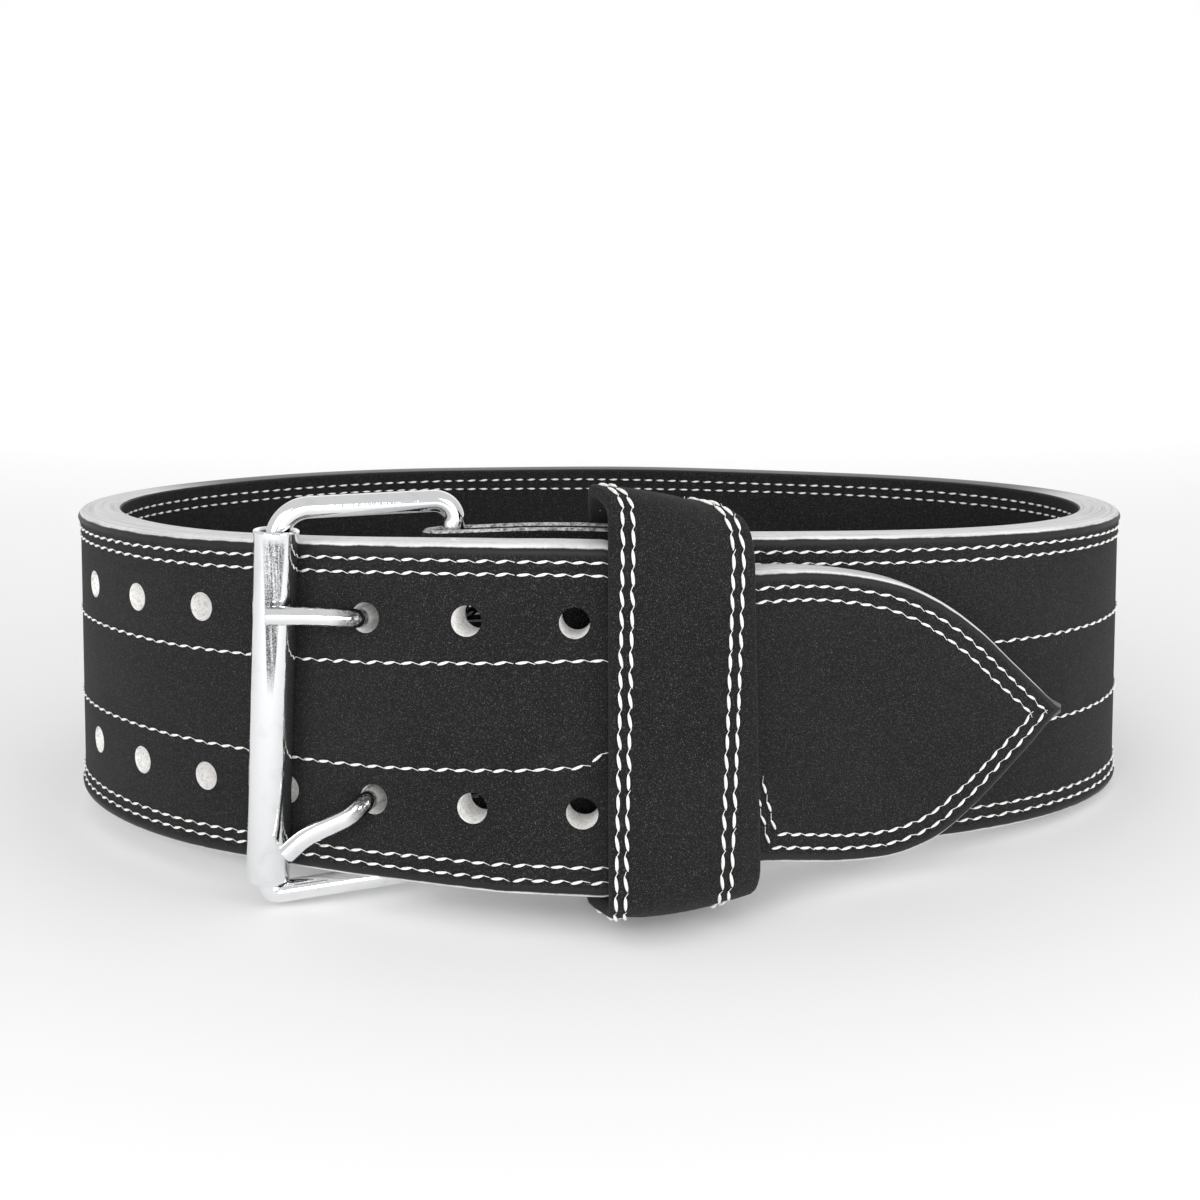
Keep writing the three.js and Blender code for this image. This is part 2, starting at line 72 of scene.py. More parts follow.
# Loop: bearing in degrees, radius as a share of LOOP_REACH, rise as a share of the width, lean
LOOP_REACH = 180.0
LOOP = np.array([
    [-180, 1.004, 0.002, 0.02],
    [-157.5, 0.842, -0.002, 0],
    [-135, 0.674, 0.012, 0.005],
    [-112.5, 0.526, 0.027, 0.04],
    [-90, 0.486, 0.024, 0.1],
    [-67.5, 0.495, 0.012, 0.06],
    [-45, 0.552, -0.001, 0.01],
    [-22.5, 0.735, -0.016, -0.02],
    [0, 0.999, -0.023, 0.01],
    [22.5, 1.069, -0.018, 0.015],
    [45, 0.946, -0.013, 0],
    [67.5, 0.813, -0.003, 0],
    [90, 0.767, 0.005, 0],
    [112.5, 0.796, 0.006, 0],
    [135, 0.902, 0.006, 0],
    [157.5, 0.998, 0.004, 0.01],
])

# Tongue: distance from the tip, half width and drop of the middle, as shares of the width
TONGUE_LENGTH = 205.3
CLIMB = (214, 256)
SETTLE = (276, 318)
TONGUE = np.array([
    [0, 0.016, -0.077],
    [0.03, 0.033, -0.077],
    [0.09, 0.084, -0.079],
    [0.21, 0.182, -0.079],
    [0.34, 0.289, -0.076],
    [0.47, 0.374, -0.073],
    [0.6, 0.424, -0.062],
    [0.8, 0.449, -0.043],
    [1, 0.443, -0.021],
    [1.15, 0.432, -0.008],
    [1.3, 0.445, 0],
    [1.58, 0.5, 0],
])

# Holes
HOLE_DIAMETER = 9.0
HOLE_PITCH = 30.2
HOLES = range(-6, 4)
HOLE_ROWS = (27.9, -25.8)
LONG_STRETCH_FROM = -1
LOWER_ROW_SHIFT = 2.4
HOLE_TO_BAR = 21.1

# Buckle
BAR_BEARING = -118.05
WIRE_DIAMETER = 6.6
FRAME_TOP = 60.0
FRAME_BOTTOM = -56.1
BAR_BOTTOM = -53.5
FRAME_REACH = 51.1
FRAME_CORNERS = (9.0, 6.6, 6.6, 4.0)
FRAME_TWIST = 0.055
ROLLER_DIAMETER = 12.7
ROLLER_BORE = 9.8
LIP_SHARE = 0.45  # the lips' radius as a share of the tube's wall
BELL = 0.35  # the mouth's flare, and how far down it starts
BELL_REACH = 5.0
ROLLER_TOP_GAP = 6.0  # from the roller's ends to the middle of the frame's arms
ROLLER_BOTTOM_GAP = 4.5
ROLLER_GAP = 1.3
PRONG_DIAMETER = 5.6
PRONG_PLAY = 0.4
PRONG_TIPS = (30.2, -41.0)
PRONG_OVERHANGS = (2.0, -7.0)
PRONG_CHAMFER = 0.45
PRONG_EXIT = 1.6  # gap between the strap's face and the prong where it leaves the hole
PRONG_LEAVE = 5.0  # from the hole's middle to where it runs straight to the roller
PRONG_MIDWAY_CLIMB = 0.66  # of the way to the tip's height, halfway to the roller
EYE_ANGLES = range(10, 271, 26)  # degrees round the bar, from the way to the roller

# Fold of thin leather round the bar
FOLD_THICKNESS = 3.0
FOLD_HEIGHT = 97.0
FOLD_PLAY = 0.7
FOLD_SLACK = 2.0
FOLD_RISE = 3.0
FOLD_REACH = 68.0
FOLD_CORNER = 0.7
FOLD_TWIST_FROM = 0.4  # share of its reach from which the fold turns with the buckle
SLOT_HEIGHT = 7.4
SLOT_REACH = 12.0

# Keeper: share of its length, play above, below and in front, lower front corner's radius
KEEPER_THICKNESS = 3.8
RIM_PLAY = 0.54  # room for the tongue's rim
KEEPER_FROM = 49.4
KEEPER_LENGTH = 35.3
KEEPER_SKEW = 6.0
KEEPER_SKEW_DEPTH = 14.0
KEEPER_BACK_PLAY = 1.5
KEEPER = np.array([
    [0, 12.6, 1.8, 1.6, 4.2],
    [0.3, 11, 1.3, 1.1, 6],
    [0.65, 8.8, 0.8, 0.6, 7.5],
    [1, 6.8, 0.5, 0.4, 8.5],
])
KEEPER_TOP_CORNER = 12.0
KEEPER_BACK_CORNER = 3.6
KEEPER_LOW_CORNER = 6.5
KEEPER_SHOULDER = 13.0  # outer radius where the band turns over the back
KEEPER_FULLNESS = 0.5  # the face stands out between its seams and is pulled in along them
SEAM_PULL = 0.3
SEAM_REACH = 0.05

# Stitches
STITCH_PITCH = 5.4
STITCH_LIFT = 0.15
ROWS_FROM_EDGE = (5.0, 8.6)  # the double rows along both edges
MIDDLE_ROWS = (14.6, -15.0)
ROW_ENDS = (71.0, 60.0)  # past the prong hole, where the middle rows turn to each other
ROW_TURN = 14.0
ROW_TURN_RISE = 5.5
ROW_DRIFT = 2.0  # the middle rows climb this much over the run after the prong hole
ROW_DRIFT_RUN = 58.0
EDGE_WANDER = 0.35  # how far the rows stray, and the lengths of their waves
MIDDLE_WANDER = 1.0
WANDER_WAVES = (97.0, 41.0)
MIDDLE_PHASE = 1.7
DRIFT_LIMIT = 1.5  # the drift goes on past its run up to this many times it, growing faster than it
DRIFT_GROWTH = 1.6
OUTER_ROWS_END = 8.0  # before the tongue's turn
INNER_ROWS_START = 6.0  # past the fold's end
INNER_ROWS_END = 80.0  # before the tip
TONGUE_TURN = 109.0  # from the prong hole to where the tongue's rows turn up, under the keeper
# The tongue's rows: distance from its edge, where past the turn they close and how far they lean
TONGUE_ROWS = ((5.0, 6.0, 4.1), (9.0, 8.7, 4.6))
TONGUE_CLOSING = 17.0  # height of the closing stretch
TIP_SKIPPED = 5.0  # the rows meet in a point of their own, straight from this far before the tip
# Columns on the keeper: share of its length at COLUMN_LEVEL and what it gains per millimetre up
KEEPER_COLUMNS = ((0.06, 0.0005), (0.118, 0.0006), (0.717, 0.0013), (0.79, 0.0014))
COLUMN_LEVEL = -15.0
COLUMN_REACH = 52.0  # the columns lean between these heights
KEEPER_PITCH = 5.7
LAST_GAP = 0.6  # of the pitch, left at least between a column's last stitch and its first

HALF_WIDTH = STRAP_WIDTH / 2
HALF_THICKNESS = STRAP_THICKNESS / 2
BAR_RADIUS = WIRE_DIAMETER / 2
ROLLER_RADIUS = ROLLER_DIAMETER / 2
PRONG_RADIUS = PRONG_DIAMETER / 2
EYE_RADIUS = BAR_RADIUS + PRONG_PLAY + PRONG_RADIUS
FOLD_INSIDE = BAR_RADIUS + FOLD_PLAY
TAIL_THICKNESS = 2 * (FOLD_INSIDE - 1.5 * CLEARANCE)
SEAT_LIFT = STRAP_THICKNESS + CLEARANCE
TURN = 360.0
TRACK_STEP = 0.5  # degrees of bearing between the places where the strap's length is measured
WAY_STEP = 0.25  # degrees on both sides of a spot, from which its way along is taken
LIFT_WAY_STEP = 0.05
CREST_HALVINGS = 30
ROLLER_HALVINGS = 40


# The belt's path

def around(column, bearing):
    """A smooth periodic value through the rows of the loop table."""
    lag = np.radians(np.asarray(bearing, float)[..., None] - LOOP[:, 0])
    wave = np.tan(lag / 2)
    peak = np.abs(np.sin(lag / 2)) < 1e-9
    count = len(LOOP)
    weight = np.where(peak, 1.0, np.sin(count * lag / 2) / (count * np.where(peak, 1.0, wave)))
    return weight @ LOOP[:, column]


def ease(at, start, end):
    share = np.clip((np.asarray(at, float) - start) / (end - start), 0, 1)
    return share * share * (3 - 2 * share)


def flowing(table, column, at):
    """A smooth value through the rows of a table, flat beyond both ends."""
    x = table[:, 0]
    y = table[:, column]
    slope = np.gradient(y, x)
    at = np.clip(np.asarray(at, float), x[0], x[-1])
    i = np.clip(np.searchsorted(x, at, side="right") - 1, 0, len(x) - 2)
    width = x[i + 1] - x[i]
    t = (at - x[i]) / width
    return ((1 + 2 * t) * (1 - t) ** 2 * y[i] + t * (1 - t) ** 2 * width * slope[i]
            + t * t * (3 - 2 * t) * y[i + 1] + t * t * (t - 1) * width * slope[i + 1])


def unit(vectors):
    return vectors / np.linalg.norm(vectors, axis=-1, keepdims=True)


def loop_point(bearing):
    angle = np.radians(np.asarray(bearing, float))
    reach = LOOP_REACH * around(1, bearing)
    return np.stack([np.cos(angle) * reach, np.sin(angle) * reach], -1)


def way_along(curve, at, step):
    return unit(curve(np.asarray(at) + step) - curve(np.asarray(at) - step))


def outwards(along):
    return np.stack([along[..., 1], -along[..., 0]], -1)


BAR_PLAN = loop_point(BAR_BEARING)


def strap_point_for(crest, bearing):
    """The strap's middle in plan: on the loop, then over it past the climb, seated on it at the end."""
    lift = crest * ease(bearing, *CLIMB) - (crest - SEAT_LIFT) * ease(bearing, *SETTLE)
    side = outwards(way_along(loop_point, bearing, LIFT_WAY_STEP))
    return loop_point(bearing) + side * lift[..., None]


def clearing_crest():
    """How far the tongue lifts at its crest to pass clear of the eyes round the bar."""
    wanted = EYE_RADIUS + PRONG_RADIUS + CLEARANCE + HALF_THICKNESS
    low, high = SEAT_LIFT, 3 * wanted
    bearings = np.arange(CLIMB[0], SETTLE[0], 1.0)
    for _ in range(CREST_HALVINGS):
        crest = (low + high) / 2
        gaps = np.linalg.norm(strap_point_for(crest, bearings) - BAR_PLAN, axis=-1)
        if gaps.min() < wanted:
            low = crest
        else:
            high = crest
    return high


CREST = clearing_crest()


def strap_point(bearing):
    return strap_point_for(CREST, bearing)


def measured_track():
    """Bearings round the strap with the length run at each, and the length over the bar."""
    bearings = []
    bearing = BAR_BEARING
    while bearing < TURN:
        bearings.append(bearing)
        bearing += TRACK_STEP
    bearings = np.array(bearings)
    steps = np.linalg.norm(np.diff(strap_point(bearings), axis=0), axis=1)
    lengths = np.concatenate([[0], np.cumsum(steps)])
    return bearings, lengths, lengths[np.argmax(bearings >= BAR_BEARING + TURN)]


TRACK_BEARINGS, TRACK_LENGTHS, OVER_BAR = measured_track()
PRONG_HOLE = OVER_BAR - HOLE_TO_BAR
TIP_LENGTH = OVER_BAR + TONGUE_LENGTH


def bearing_at(length):
    return np.interp(length, TRACK_LENGTHS, TRACK_BEARINGS)


def spot_at(length):
    """Middle point of the strap in plan, the way along it and the way out of it."""
    bearing = bearing_at(length)
    along = way_along(strap_point, bearing, WAY_STEP)
    return strap_point(bearing), along, outwards(along)


def base_at(length):
    """The same for the loop itself, without the tongue's lift."""
    bearing = bearing_at(length)
    along = way_along(loop_point, bearing, WAY_STEP)
    return loop_point(bearing), along, outwards(along)


def place(plan, height):
    """A point in space, on the loop's rise and leaning with its wall."""
    plan = np.asarray(plan, float)
    height = np.asarray(height, float)
    angle = np.arctan2(plan[..., 1], plan[..., 0])
    bearing = np.degrees(angle)
    lean = around(3, bearing) * height
    return np.stack([
        plan[..., 0] - np.cos(angle) * lean,
        plan[..., 1] - np.sin(angle) * lean,
        height + STRAP_WIDTH * around(2, bearing),
    ], -1)


def roller_plan_at(length):
    point, _, out = spot_at(length)
    return point + out * (HALF_THICKNESS + ROLLER_GAP + ROLLER_RADIUS)


def roller_length():
    """The strap's length at the roller, which lies on it at the frame's reach from the bar."""
    near, far = PRONG_HOLE - 3 * HOLE_PITCH, OVER_BAR
    for _ in range(ROLLER_HALVINGS):
        middle = (near + far) / 2
        if np.linalg.norm(roller_plan_at(middle) - BAR_PLAN) > FRAME_REACH:
            near = middle
        else:
            far = middle
    return near


ROLLER_SPOT = roller_length()
ROLLER_PLAN = roller_plan_at(ROLLER_SPOT)
TWIST_WAY = spot_at(ROLLER_SPOT)[1] * FRAME_TWIST


def place_buckle(plan, height, share=1.0):
    """A point of the buckle, which hangs out of square by its twist."""
    height = np.asarray(height, float)
    return place(np.asarray(plan, float) + TWIST_WAY * (height * share)[..., None], height)


CORNERS = [
    place_buckle(ROLLER_PLAN, FRAME_TOP),
    place_buckle(BAR_PLAN, FRAME_TOP),
    place_buckle(BAR_PLAN, BAR_BOTTOM),
    place_buckle(ROLLER_PLAN, FRAME_BOTTOM),
]
ROLLER_AXIS = unit(CORNERS[0] - CORNERS[3])
ROLLER_LOW = ROLLER_BOTTOM_GAP  # measured up the axis from the lower arm
ROLLER_HIGH = np.linalg.norm(CORNERS[0] - CORNERS[3]) - ROLLER_TOP_GAP


def roller_ring(radius, rise, sides):
    side = unit(np.array([0.0, 1.0, 0.0]) - ROLLER_AXIS * ROLLER_AXIS[1])
    up = np.cross(ROLLER_AXIS, side)
    angle = np.linspace(0, 2 * math.pi, sides, endpoint=False)
    ring = np.outer(np.cos(angle), side) + np.outer(np.sin(angle), up)
    return CORNERS[3] + ROLLER_AXIS * rise + radius * ring


# Standing the belt on the floor

FOOT_BEARINGS = (8.0, 78.0)


def floor_turn():
    """The turn that sets the belt on its three feet: the frame's lower arm and two spots of the rim."""
    arm_share = 1 - FRAME_CORNERS[3] / FRAME_REACH
    arm_height = BAR_BOTTOM + (FRAME_BOTTOM - BAR_BOTTOM) * arm_share - BAR_RADIUS
    arm = place_buckle(BAR_PLAN + (ROLLER_PLAN - BAR_PLAN) * arm_share, arm_height)
    right, back = (place(loop_point(bearing), -HALF_WIDTH) for bearing in FOOT_BEARINGS)
    up = Vector(np.cross(right - arm, back - arm)).normalized()
    return np.array(up.rotation_difference(Vector((0, 0, 1))).to_matrix())


FLOOR_TURN = floor_turn()
CAD_ROLLER_SIDES = 24


def floor_shift():
    """The shift that brings the roller to its place in the frame's file."""
    ends = [roller_ring(ROLLER_RADIUS, rise, CAD_ROLLER_SIDES) for rise in (ROLLER_LOW, ROLLER_HIGH)]
    spots = np.concatenate(ends) @ FLOOR_TURN.T * MM
    low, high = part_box("buckle_roller")
    return (np.array(low) + np.array(high)) / 2 - (spots.min(0) + spots.max(0)) / 2


FLOOR_SHIFT = floor_shift()


def set_down(points):
    """From the belt's own frame in millimetres to the row frame in metres."""
    return np.asarray(points, float) @ FLOOR_TURN.T * MM + FLOOR_SHIFT


# Camera at the photo's angle, set up in the belt's own frame
CAMERA_PLACE = (0.0, -514.2, 113.12)
CAMERA_DIP = 0.1052  # radians below the level
FOCAL_PIXELS = 1436.2
FRAME_PIXELS = 1200.0
MIDDLE_ROW = 481.1  # pixel row of the optical axis
SENSOR = 36.0
CLIP_START = 0.01


def add_camera():
    data = bpy.data.cameras.new("camera")
    data.sensor_fit = "HORIZONTAL"
    data.sensor_width = SENSOR
    data.lens = FOCAL_PIXELS * SENSOR / FRAME_PIXELS
    data.shift_y = (MIDDLE_ROW - FRAME_PIXELS / 2) / FRAME_PIXELS
    data.clip_start = CLIP_START
    camera = bpy.data.objects.new("camera", data)
    bpy.context.scene.collection.objects.link(camera)
    sine, cosine = math.sin(CAMERA_DIP), math.cos(CAMERA_DIP)
    axes = np.array([[1, 0, 0], [0, sine, cosine], [0, -cosine, sine]])
    turned = FLOOR_TURN @ axes.T
    matrix = Matrix([list(row) for row in turned]).to_4x4()
    matrix.translation = Vector(set_down(CAMERA_PLACE))
    camera.matrix_world = matrix
    bpy.context.scene.camera = camera


# Shader building

class Value:
    """A shader socket that takes part in arithmetic."""

    def __init__(self, tree, socket):
        self.tree = tree
        self.socket = socket

    def math(self, operation, *others, first=None):
        node = self.tree.nodes.new("ShaderNodeMath")
        node.operation = operation
        operands = [self if first is None else first, *others]
        for slot, operand in zip(node.inputs, operands):
            if isinstance(operand, Value):
                self.tree.links.new(operand.socket, slot)
            else:
                slot.default_value = operand
        return Value(self.tree, node.outputs[0])

    def __add__(self, other):
        return self.math("ADD", other)

    def __sub__(self, other):
        return self.math("SUBTRACT", other)

    def __rsub__(self, other):
        return self.math("SUBTRACT", self, first=other)

    def __mul__(self, other):
        return self.math("MULTIPLY", other)

    def __truediv__(self, other):
        return self.math("DIVIDE", other)

    def __rtruediv__(self, other):
        return self.math("DIVIDE", self, first=other)

    __radd__ = __add__
    __rmul__ = __mul__

    def step(self, start, end):
        """0 before start, 1 after end and smooth between them; start may be the larger."""
        node = self.tree.nodes.new("ShaderNodeMapRange")
        node.interpolation_type = "SMOOTHSTEP"
        self.tree.links.new(self.socket, node.inputs["Value"])
        node.inputs["From Min"].default_value = min(start, end)
        node.inputs["From Max"].default_value = max(start, end)
        node.inputs["To Min"].default_value = float(start > end)
        node.inputs["To Max"].default_value = float(start < end)
        return Value(self.tree, node.outputs["Result"])


class Nodes:
    """Adds nodes to a tree: settings first, then the values or links of the sockets."""

    def __init__(self, tree):
        self.tree = tree

    def add(self, kind, settings=None, inputs=None, output=0):
        node = self.tree.nodes.new(kind)
        for name, value in (settings or {}).items():
            setattr(node, name, value)
        for name, value in (inputs or {}).items():
            slot = node.inputs[name]
            if isinstance(value, Value):
                self.tree.links.new(value.socket, slot)
            elif isinstance(value, (list, tuple)) and value and isinstance(value[0], Value):
                for link in value:
                    self.tree.links.new(link.socket, slot)
            else:
                slot.default_value = value
        return Value(self.tree, node.outputs[output])


class Finish(Nodes):
    """A material with one Principled shader and the patterns that feed it."""

    def __init__(self, name):
        self.material = bpy.data.materials.new(name)
        self.material.use_nodes = True
        super().__init__(self.material.node_tree)
        self.tree.nodes.clear()
        self.place = self.add("ShaderNodeTexCoord", output="Object")

    def noise(self, scale, detail, roughness, vector=None):
        return self.add("ShaderNodeTexNoise", None, {
            "Vector": vector or self.place,
            "Scale": scale,
            "Detail": detail,
            "Roughness": roughness,
        }, "Fac")

    def stretched(self, vector, scale):
        return self.add("ShaderNodeMapping", None, {"Vector": vector, "Scale": scale})

    def part(self, vector, axis):
        return self.add("ShaderNodeSeparateXYZ", None, {"Vector": vector}, axis)

    def vectors(self, operation, first, second, output="Vector"):
        return self.add("ShaderNodeVectorMath", {"operation": operation}, {0: first, 1: second}, output)

    def blend(self, share, first, second):
        """Colour first where share is 0, second where it is 1."""
        node = self.tree.nodes.new("ShaderNodeMix")
        node.data_type = "RGBA"
        colours = [slot for slot in node.inputs if slot.type == "RGBA"]
        pairs = [(node.inputs[0], share), (colours[0], first), (colours[1], second)]
        for slot, value in pairs:
            if isinstance(value, Value):
                self.tree.links.new(value.socket, slot)
            else:
                slot.default_value = value if isinstance(value, float) else (*value, 1.0)
        return Value(self.tree, [slot for slot in node.outputs if slot.type == "RGBA"][0])

    def bump(self, height, depth, strength):
        return self.add("ShaderNodeBump", None, {"Height": height, "Distance": depth, "Strength": strength})

    def shade(self, **sockets):
        """The finished material, given the shader's sockets with _ for each space."""
        names = {name.replace("_", " "): value for name, value in sockets.items()}
        surface = self.add("ShaderNodeBsdfPrincipled", None, names)
        output = self.tree.nodes.new("ShaderNodeOutputMaterial")
        self.tree.links.new(surface.socket, output.inputs["Surface"])
        return self.material


# Colours
SUEDE_DARK = (0.0042, 0.0042, 0.0043)
SUEDE_MID = (0.0105, 0.0105, 0.0107)
SUEDE_FLECK = (0.095, 0.095, 0.095)
PAINT_LIGHT = (0.66, 0.66, 0.665)
PAINT_GREY = (0.46, 0.46, 0.465)
# Painted shade: the dark grey of the rim's paint along the back
REAR_RIM_SHADE = (0.09, 0.09, 0.092)
BURNISHED = (0.0125, 0.0125, 0.013)
LEATHER_PALE = (0.93, 0.92, 0.9)
LEATHER_FIBRE = (0.66, 0.65, 0.64)
LEATHER_SPECK = (0.12, 0.12, 0.12)
CUT_DARK = (0.05, 0.05, 0.05)
CUT_PALE = (0.5, 0.5, 0.5)
THREAD_WHITE = (0.84, 0.84, 0.82)
THREAD_SHADE = (0.58, 0.58, 0.56)
CHROME_TINT = (0.86, 0.865, 0.875)
CHROME_DULL = (0.6, 0.605, 0.615)
# Also the painted shade in the roller's bore and on the prongs at their holes
CHROME_DARK = (0.05, 0.05, 0.052)

# Noise scales, as waves in a metre
CLOUD = 28
NAP = 1900
FLECK = 3300
PAINT_WAVER = 160
PAINT_RAG = 1200
PAINT_GRAIN = 420
PAINT_STREAKS = (18, 1100, 1)  # long along the edge and fine across it
HOLE_FIBRES = 700
HOLE_SPECKS = 1500
CUT_FIBRES = 600
THREAD_TWIST = 1100
CHROME_RIPPLES = (900, 900, 60)  # drawn out upright, along the wire and the tube
CHROME_PITS = 700
CHROME_PATCHES = 130
STREAK_SPECKLE = 2300
STREAK_LINES = (1500, 1500, 40)
HOLE_SHADE_SPECKLE = 900

# Suede and the paint on its edges, in metres
SUEDE_ROUGHNESS = 0.93
SUEDE_BUMP = 0.0004
SUEDE_BUMP_STRENGTH = 0.7
SUEDE_SHEEN = dict(Sheen_Weight=0.04, Sheen_Roughness=0.6)
PAINT_BORDER = (0.0021, 0.0017)  # the paint starts between these distances from the edge
BURNISH_BORDER = (0.0042, 0.0026)
BURNISH_SMOOTHING = 0.48
# Painted shade: depths over which the rim's paint darkens towards the back
REAR_RIM_SHADE_RUN = (0.03, 0.075)  # the rim turns dark grey between these depths
TIP_PAINT_RUN = (9.0, 4.0)  # millimetres from the tongue's tip, where the paint wears thin
TIP_PAINT_WORN = 0.85

# The roller's mottled streak, in metres
STREAK_WAY = (0.12, -0.99, 0.0)  # the side of the roller that is mottled
STREAK_INSET = 2.0  # millimetres from the roller's upper end to where the streak is measured from
STREAK_WIDTH = 0.0036
STREAK_TAPER = 0.058
STREAK_FRONT = (0.001, 0.003)
STREAK_START = (-0.001, 0.002)
STREAK_END = (0.048, 0.036)
BORE_MARGIN = 0.3 * MM

# The painted shade and dark reflection on each prong at its hole, in metres
HOLE_SHADE_REACH = (0.011, 0.005)
HOLE_SHADE_RISE = (-0.0002, 0.001)  # the patch starts at the strap's face


def napped(finish):
    """Colour and bump of black suede: a short uneven nap with fine pale flecks."""
    cloud = finish.noise(CLOUD, 3, 0.6)
    nap = finish.noise(NAP, 3, 0.7)
    fleck = finish.noise(FLECK, 1.5, 0.6)
    ground = finish.blend((nap * 0.7 + cloud * 0.3).step(0.36, 0.66), SUEDE_DARK, SUEDE_MID)
    colour = finish.blend(fleck.step(0.56, 0.74) * 0.85, ground, SUEDE_FLECK)
    relief = nap * 0.6 + fleck * 0.4
    return colour, relief


def suede_finish():
    finish = Finish("suede")
    colour, relief = napped(finish)
    return finish.shade(
        Base_Color=colour,
        Roughness=SUEDE_ROUGHNESS,
        Normal=finish.bump(relief, SUEDE_BUMP, SUEDE_BUMP_STRENGTH),
        Specular_IOR_Level=0.12,
        **SUEDE_SHEEN,
    )


def strap_finish():
    """Suede whose edges are painted light grey; the UV map holds length and way in from the edge."""
    finish = Finish("strap_suede")
    colour, relief = napped(finish)
    skin = finish.add("ShaderNodeUVMap", {"uv_map": "strap"})
    ragged = finish.noise(PAINT_WAVER, 2, 0.5) * 0.0005 + finish.noise(PAINT_RAG, 2, 0.6) * 0.0002
    inwards = finish.part(skin, "Y") + ragged
    worn = finish.part(skin, "X").step(*[(TIP_LENGTH - from_tip) * MM for from_tip in TIP_PAINT_RUN])
    painted = inwards.step(*PAINT_BORDER) * (1 - worn * TIP_PAINT_WORN)
    slick = inwards.step(*BURNISH_BORDER)
    streaks = finish.noise(1, 4, 0.6, finish.stretched(skin, PAINT_STREAKS))
    grain = finish.noise(PAINT_GRAIN, 3, 0.6)
    paint = finish.blend((streaks * 0.8 + grain * 0.2).step(0.36, 0.56), PAINT_GREY, PAINT_LIGHT)
    # Painted shade: the rim's paint darkens towards the back
    paint = finish.blend(finish.part(finish.place, "Y").step(*REAR_RIM_SHADE_RUN), paint, REAR_RIM_SHADE)
    colour = finish.blend(slick, colour, BURNISHED)
    colour = finish.blend(painted, colour, paint)
    relief = relief * (1 - slick) * 0.8 + streaks * slick * 0.35
    return finish.shade(
        Base_Color=colour,
        Roughness=SUEDE_ROUGHNESS - slick * BURNISH_SMOOTHING,
        Normal=finish.bump(relief, SUEDE_BUMP, SUEDE_BUMP_STRENGTH),
        Specular_IOR_Level=0.15,
        **SUEDE_SHEEN,
    )


def hole_finish():
    """The pale wall of a punched hole, with dark specks of nap."""
    finish = Finish("hole_wall")
    fibres = finish.noise(HOLE_FIBRES, 4, 0.7)
    specks = finish.noise(HOLE_SPECKS, 2, 0.7)
    colour = finish.blend(fibres.step(0.3, 0.55), LEATHER_FIBRE, LEATHER_PALE)
    colour = finish.blend(specks.step(0.63, 0.7), colour, LEATHER_SPECK)
    return finish.shade(
        Base_Color=colour,
        Roughness=0.8,
        Normal=finish.bump(fibres, 0.0006, 0.6),
    )


def cut_edge_finish():
    """The fold's pale cut edge, with dark nap caught on it."""
    finish = Finish("cut_edge")
    fibres = finish.noise(CUT_FIBRES, 4, 0.7)
    colour = finish.blend(fibres.step(0.34, 0.62), CUT_DARK, CUT_PALE)
    return finish.shade(
        Base_Color=colour,
        Roughness=0.7,
        Normal=finish.bump(fibres, 0.0006, 0.7),
    )


def thread_finish():
    finish = Finish("thread")
    twist = finish.noise(THREAD_TWIST, 2, 0.6)
    colour = finish.blend(twist.step(0.3, 0.6), THREAD_SHADE, THREAD_WHITE)
    return finish.shade(
        Base_Color=colour,
        Roughness=0.6,
        Normal=finish.bump(twist, 0.0003, 0.6),
    )


def chrome_finish(name, mottled=None):
    """Polished plating with fine ripples and dull patches, dark where mottled(finish) is 1, which paints the
    roller's streak and the shade in its bore, and the shade on each prong at its hole.
    """
    finish = Finish(name)
    ripple = finish.noise(1, 3, 0.6, finish.stretched(finish.place, CHROME_RIPPLES))
    pits = finish.noise(CHROME_PITS, 3, 0.6)
    dull = finish.noise(CHROME_PATCHES, 3, 0.6)
    colour = finish.blend(dull.step(0.5, 0.8) * 0.4, CHROME_TINT, CHROME_DULL)
    if mottled:
        colour = finish.blend(mottled(finish), colour, CHROME_DARK)
    return finish.shade(
        Base_Color=colour,
        Metallic=1.0,
        Roughness=dull.step(0.45, 0.75) * 0.1 + 0.05,
        Normal=finish.bump(ripple * 0.7 + pits * 0.3, 0.0001, 0.5),
    )


def streak_and_bore_shade(finish):
    """A dark speckled streak down the upper half of the roller's front, and painted shade inside its bore.
    """
    start = set_down(CORNERS[3] + ROLLER_AXIS * (ROLLER_HIGH - STREAK_INSET))
    spot = finish.vectors("SUBTRACT", finish.place, tuple(start))
    axis = tuple(FLOOR_TURN @ ROLLER_AXIS)
    across = tuple(unit(np.cross(axis, STREAK_WAY)))
    down = finish.vectors("DOT_PRODUCT", spot, axis, "Value") * -1.0
    aside = finish.vectors("DOT_PRODUCT", spot, across, "Value")
    facing = finish.vectors("DOT_PRODUCT", spot, STREAK_WAY, "Value")
    width = STREAK_WIDTH - down * STREAK_TAPER
    band = (aside.math("ABSOLUTE") / width).step(1.0, 0.75) * facing.step(*STREAK_FRONT)
    ends = down.step(*STREAK_START) * down.step(*STREAK_END)
    speckle = finish.noise(STREAK_SPECKLE, 3, 0.75).step(0.36, 0.6)
    lines = finish.noise(1, 2, 0.6, finish.stretched(finish.place, STREAK_LINES)).step(0.4, 0.6)
    streak = band * ends * (speckle * 0.5 + lines * 0.4 + 0.1)
    # Painted shade: the roller's bore is coloured near black
    bore = ROLLER_BORE / 2 * MM + BORE_MARGIN
    bore_shade = (aside * aside + facing * facing).math("SQRT").step(bore, bore - BORE_MARGIN)
    return streak.math("MAXIMUM", bore_shade)


SUEDE = suede_finish()
STRAP_SUEDE = strap_finish()
HOLE_WALL = hole_finish()
CUT_EDGE = cut_edge_finish()
THREAD = thread_finish()
CHROME = chrome_finish("chrome")
ROLLER_CHROME = chrome_finish("roller_chrome", streak_and_bore_shade)


# Mesh building

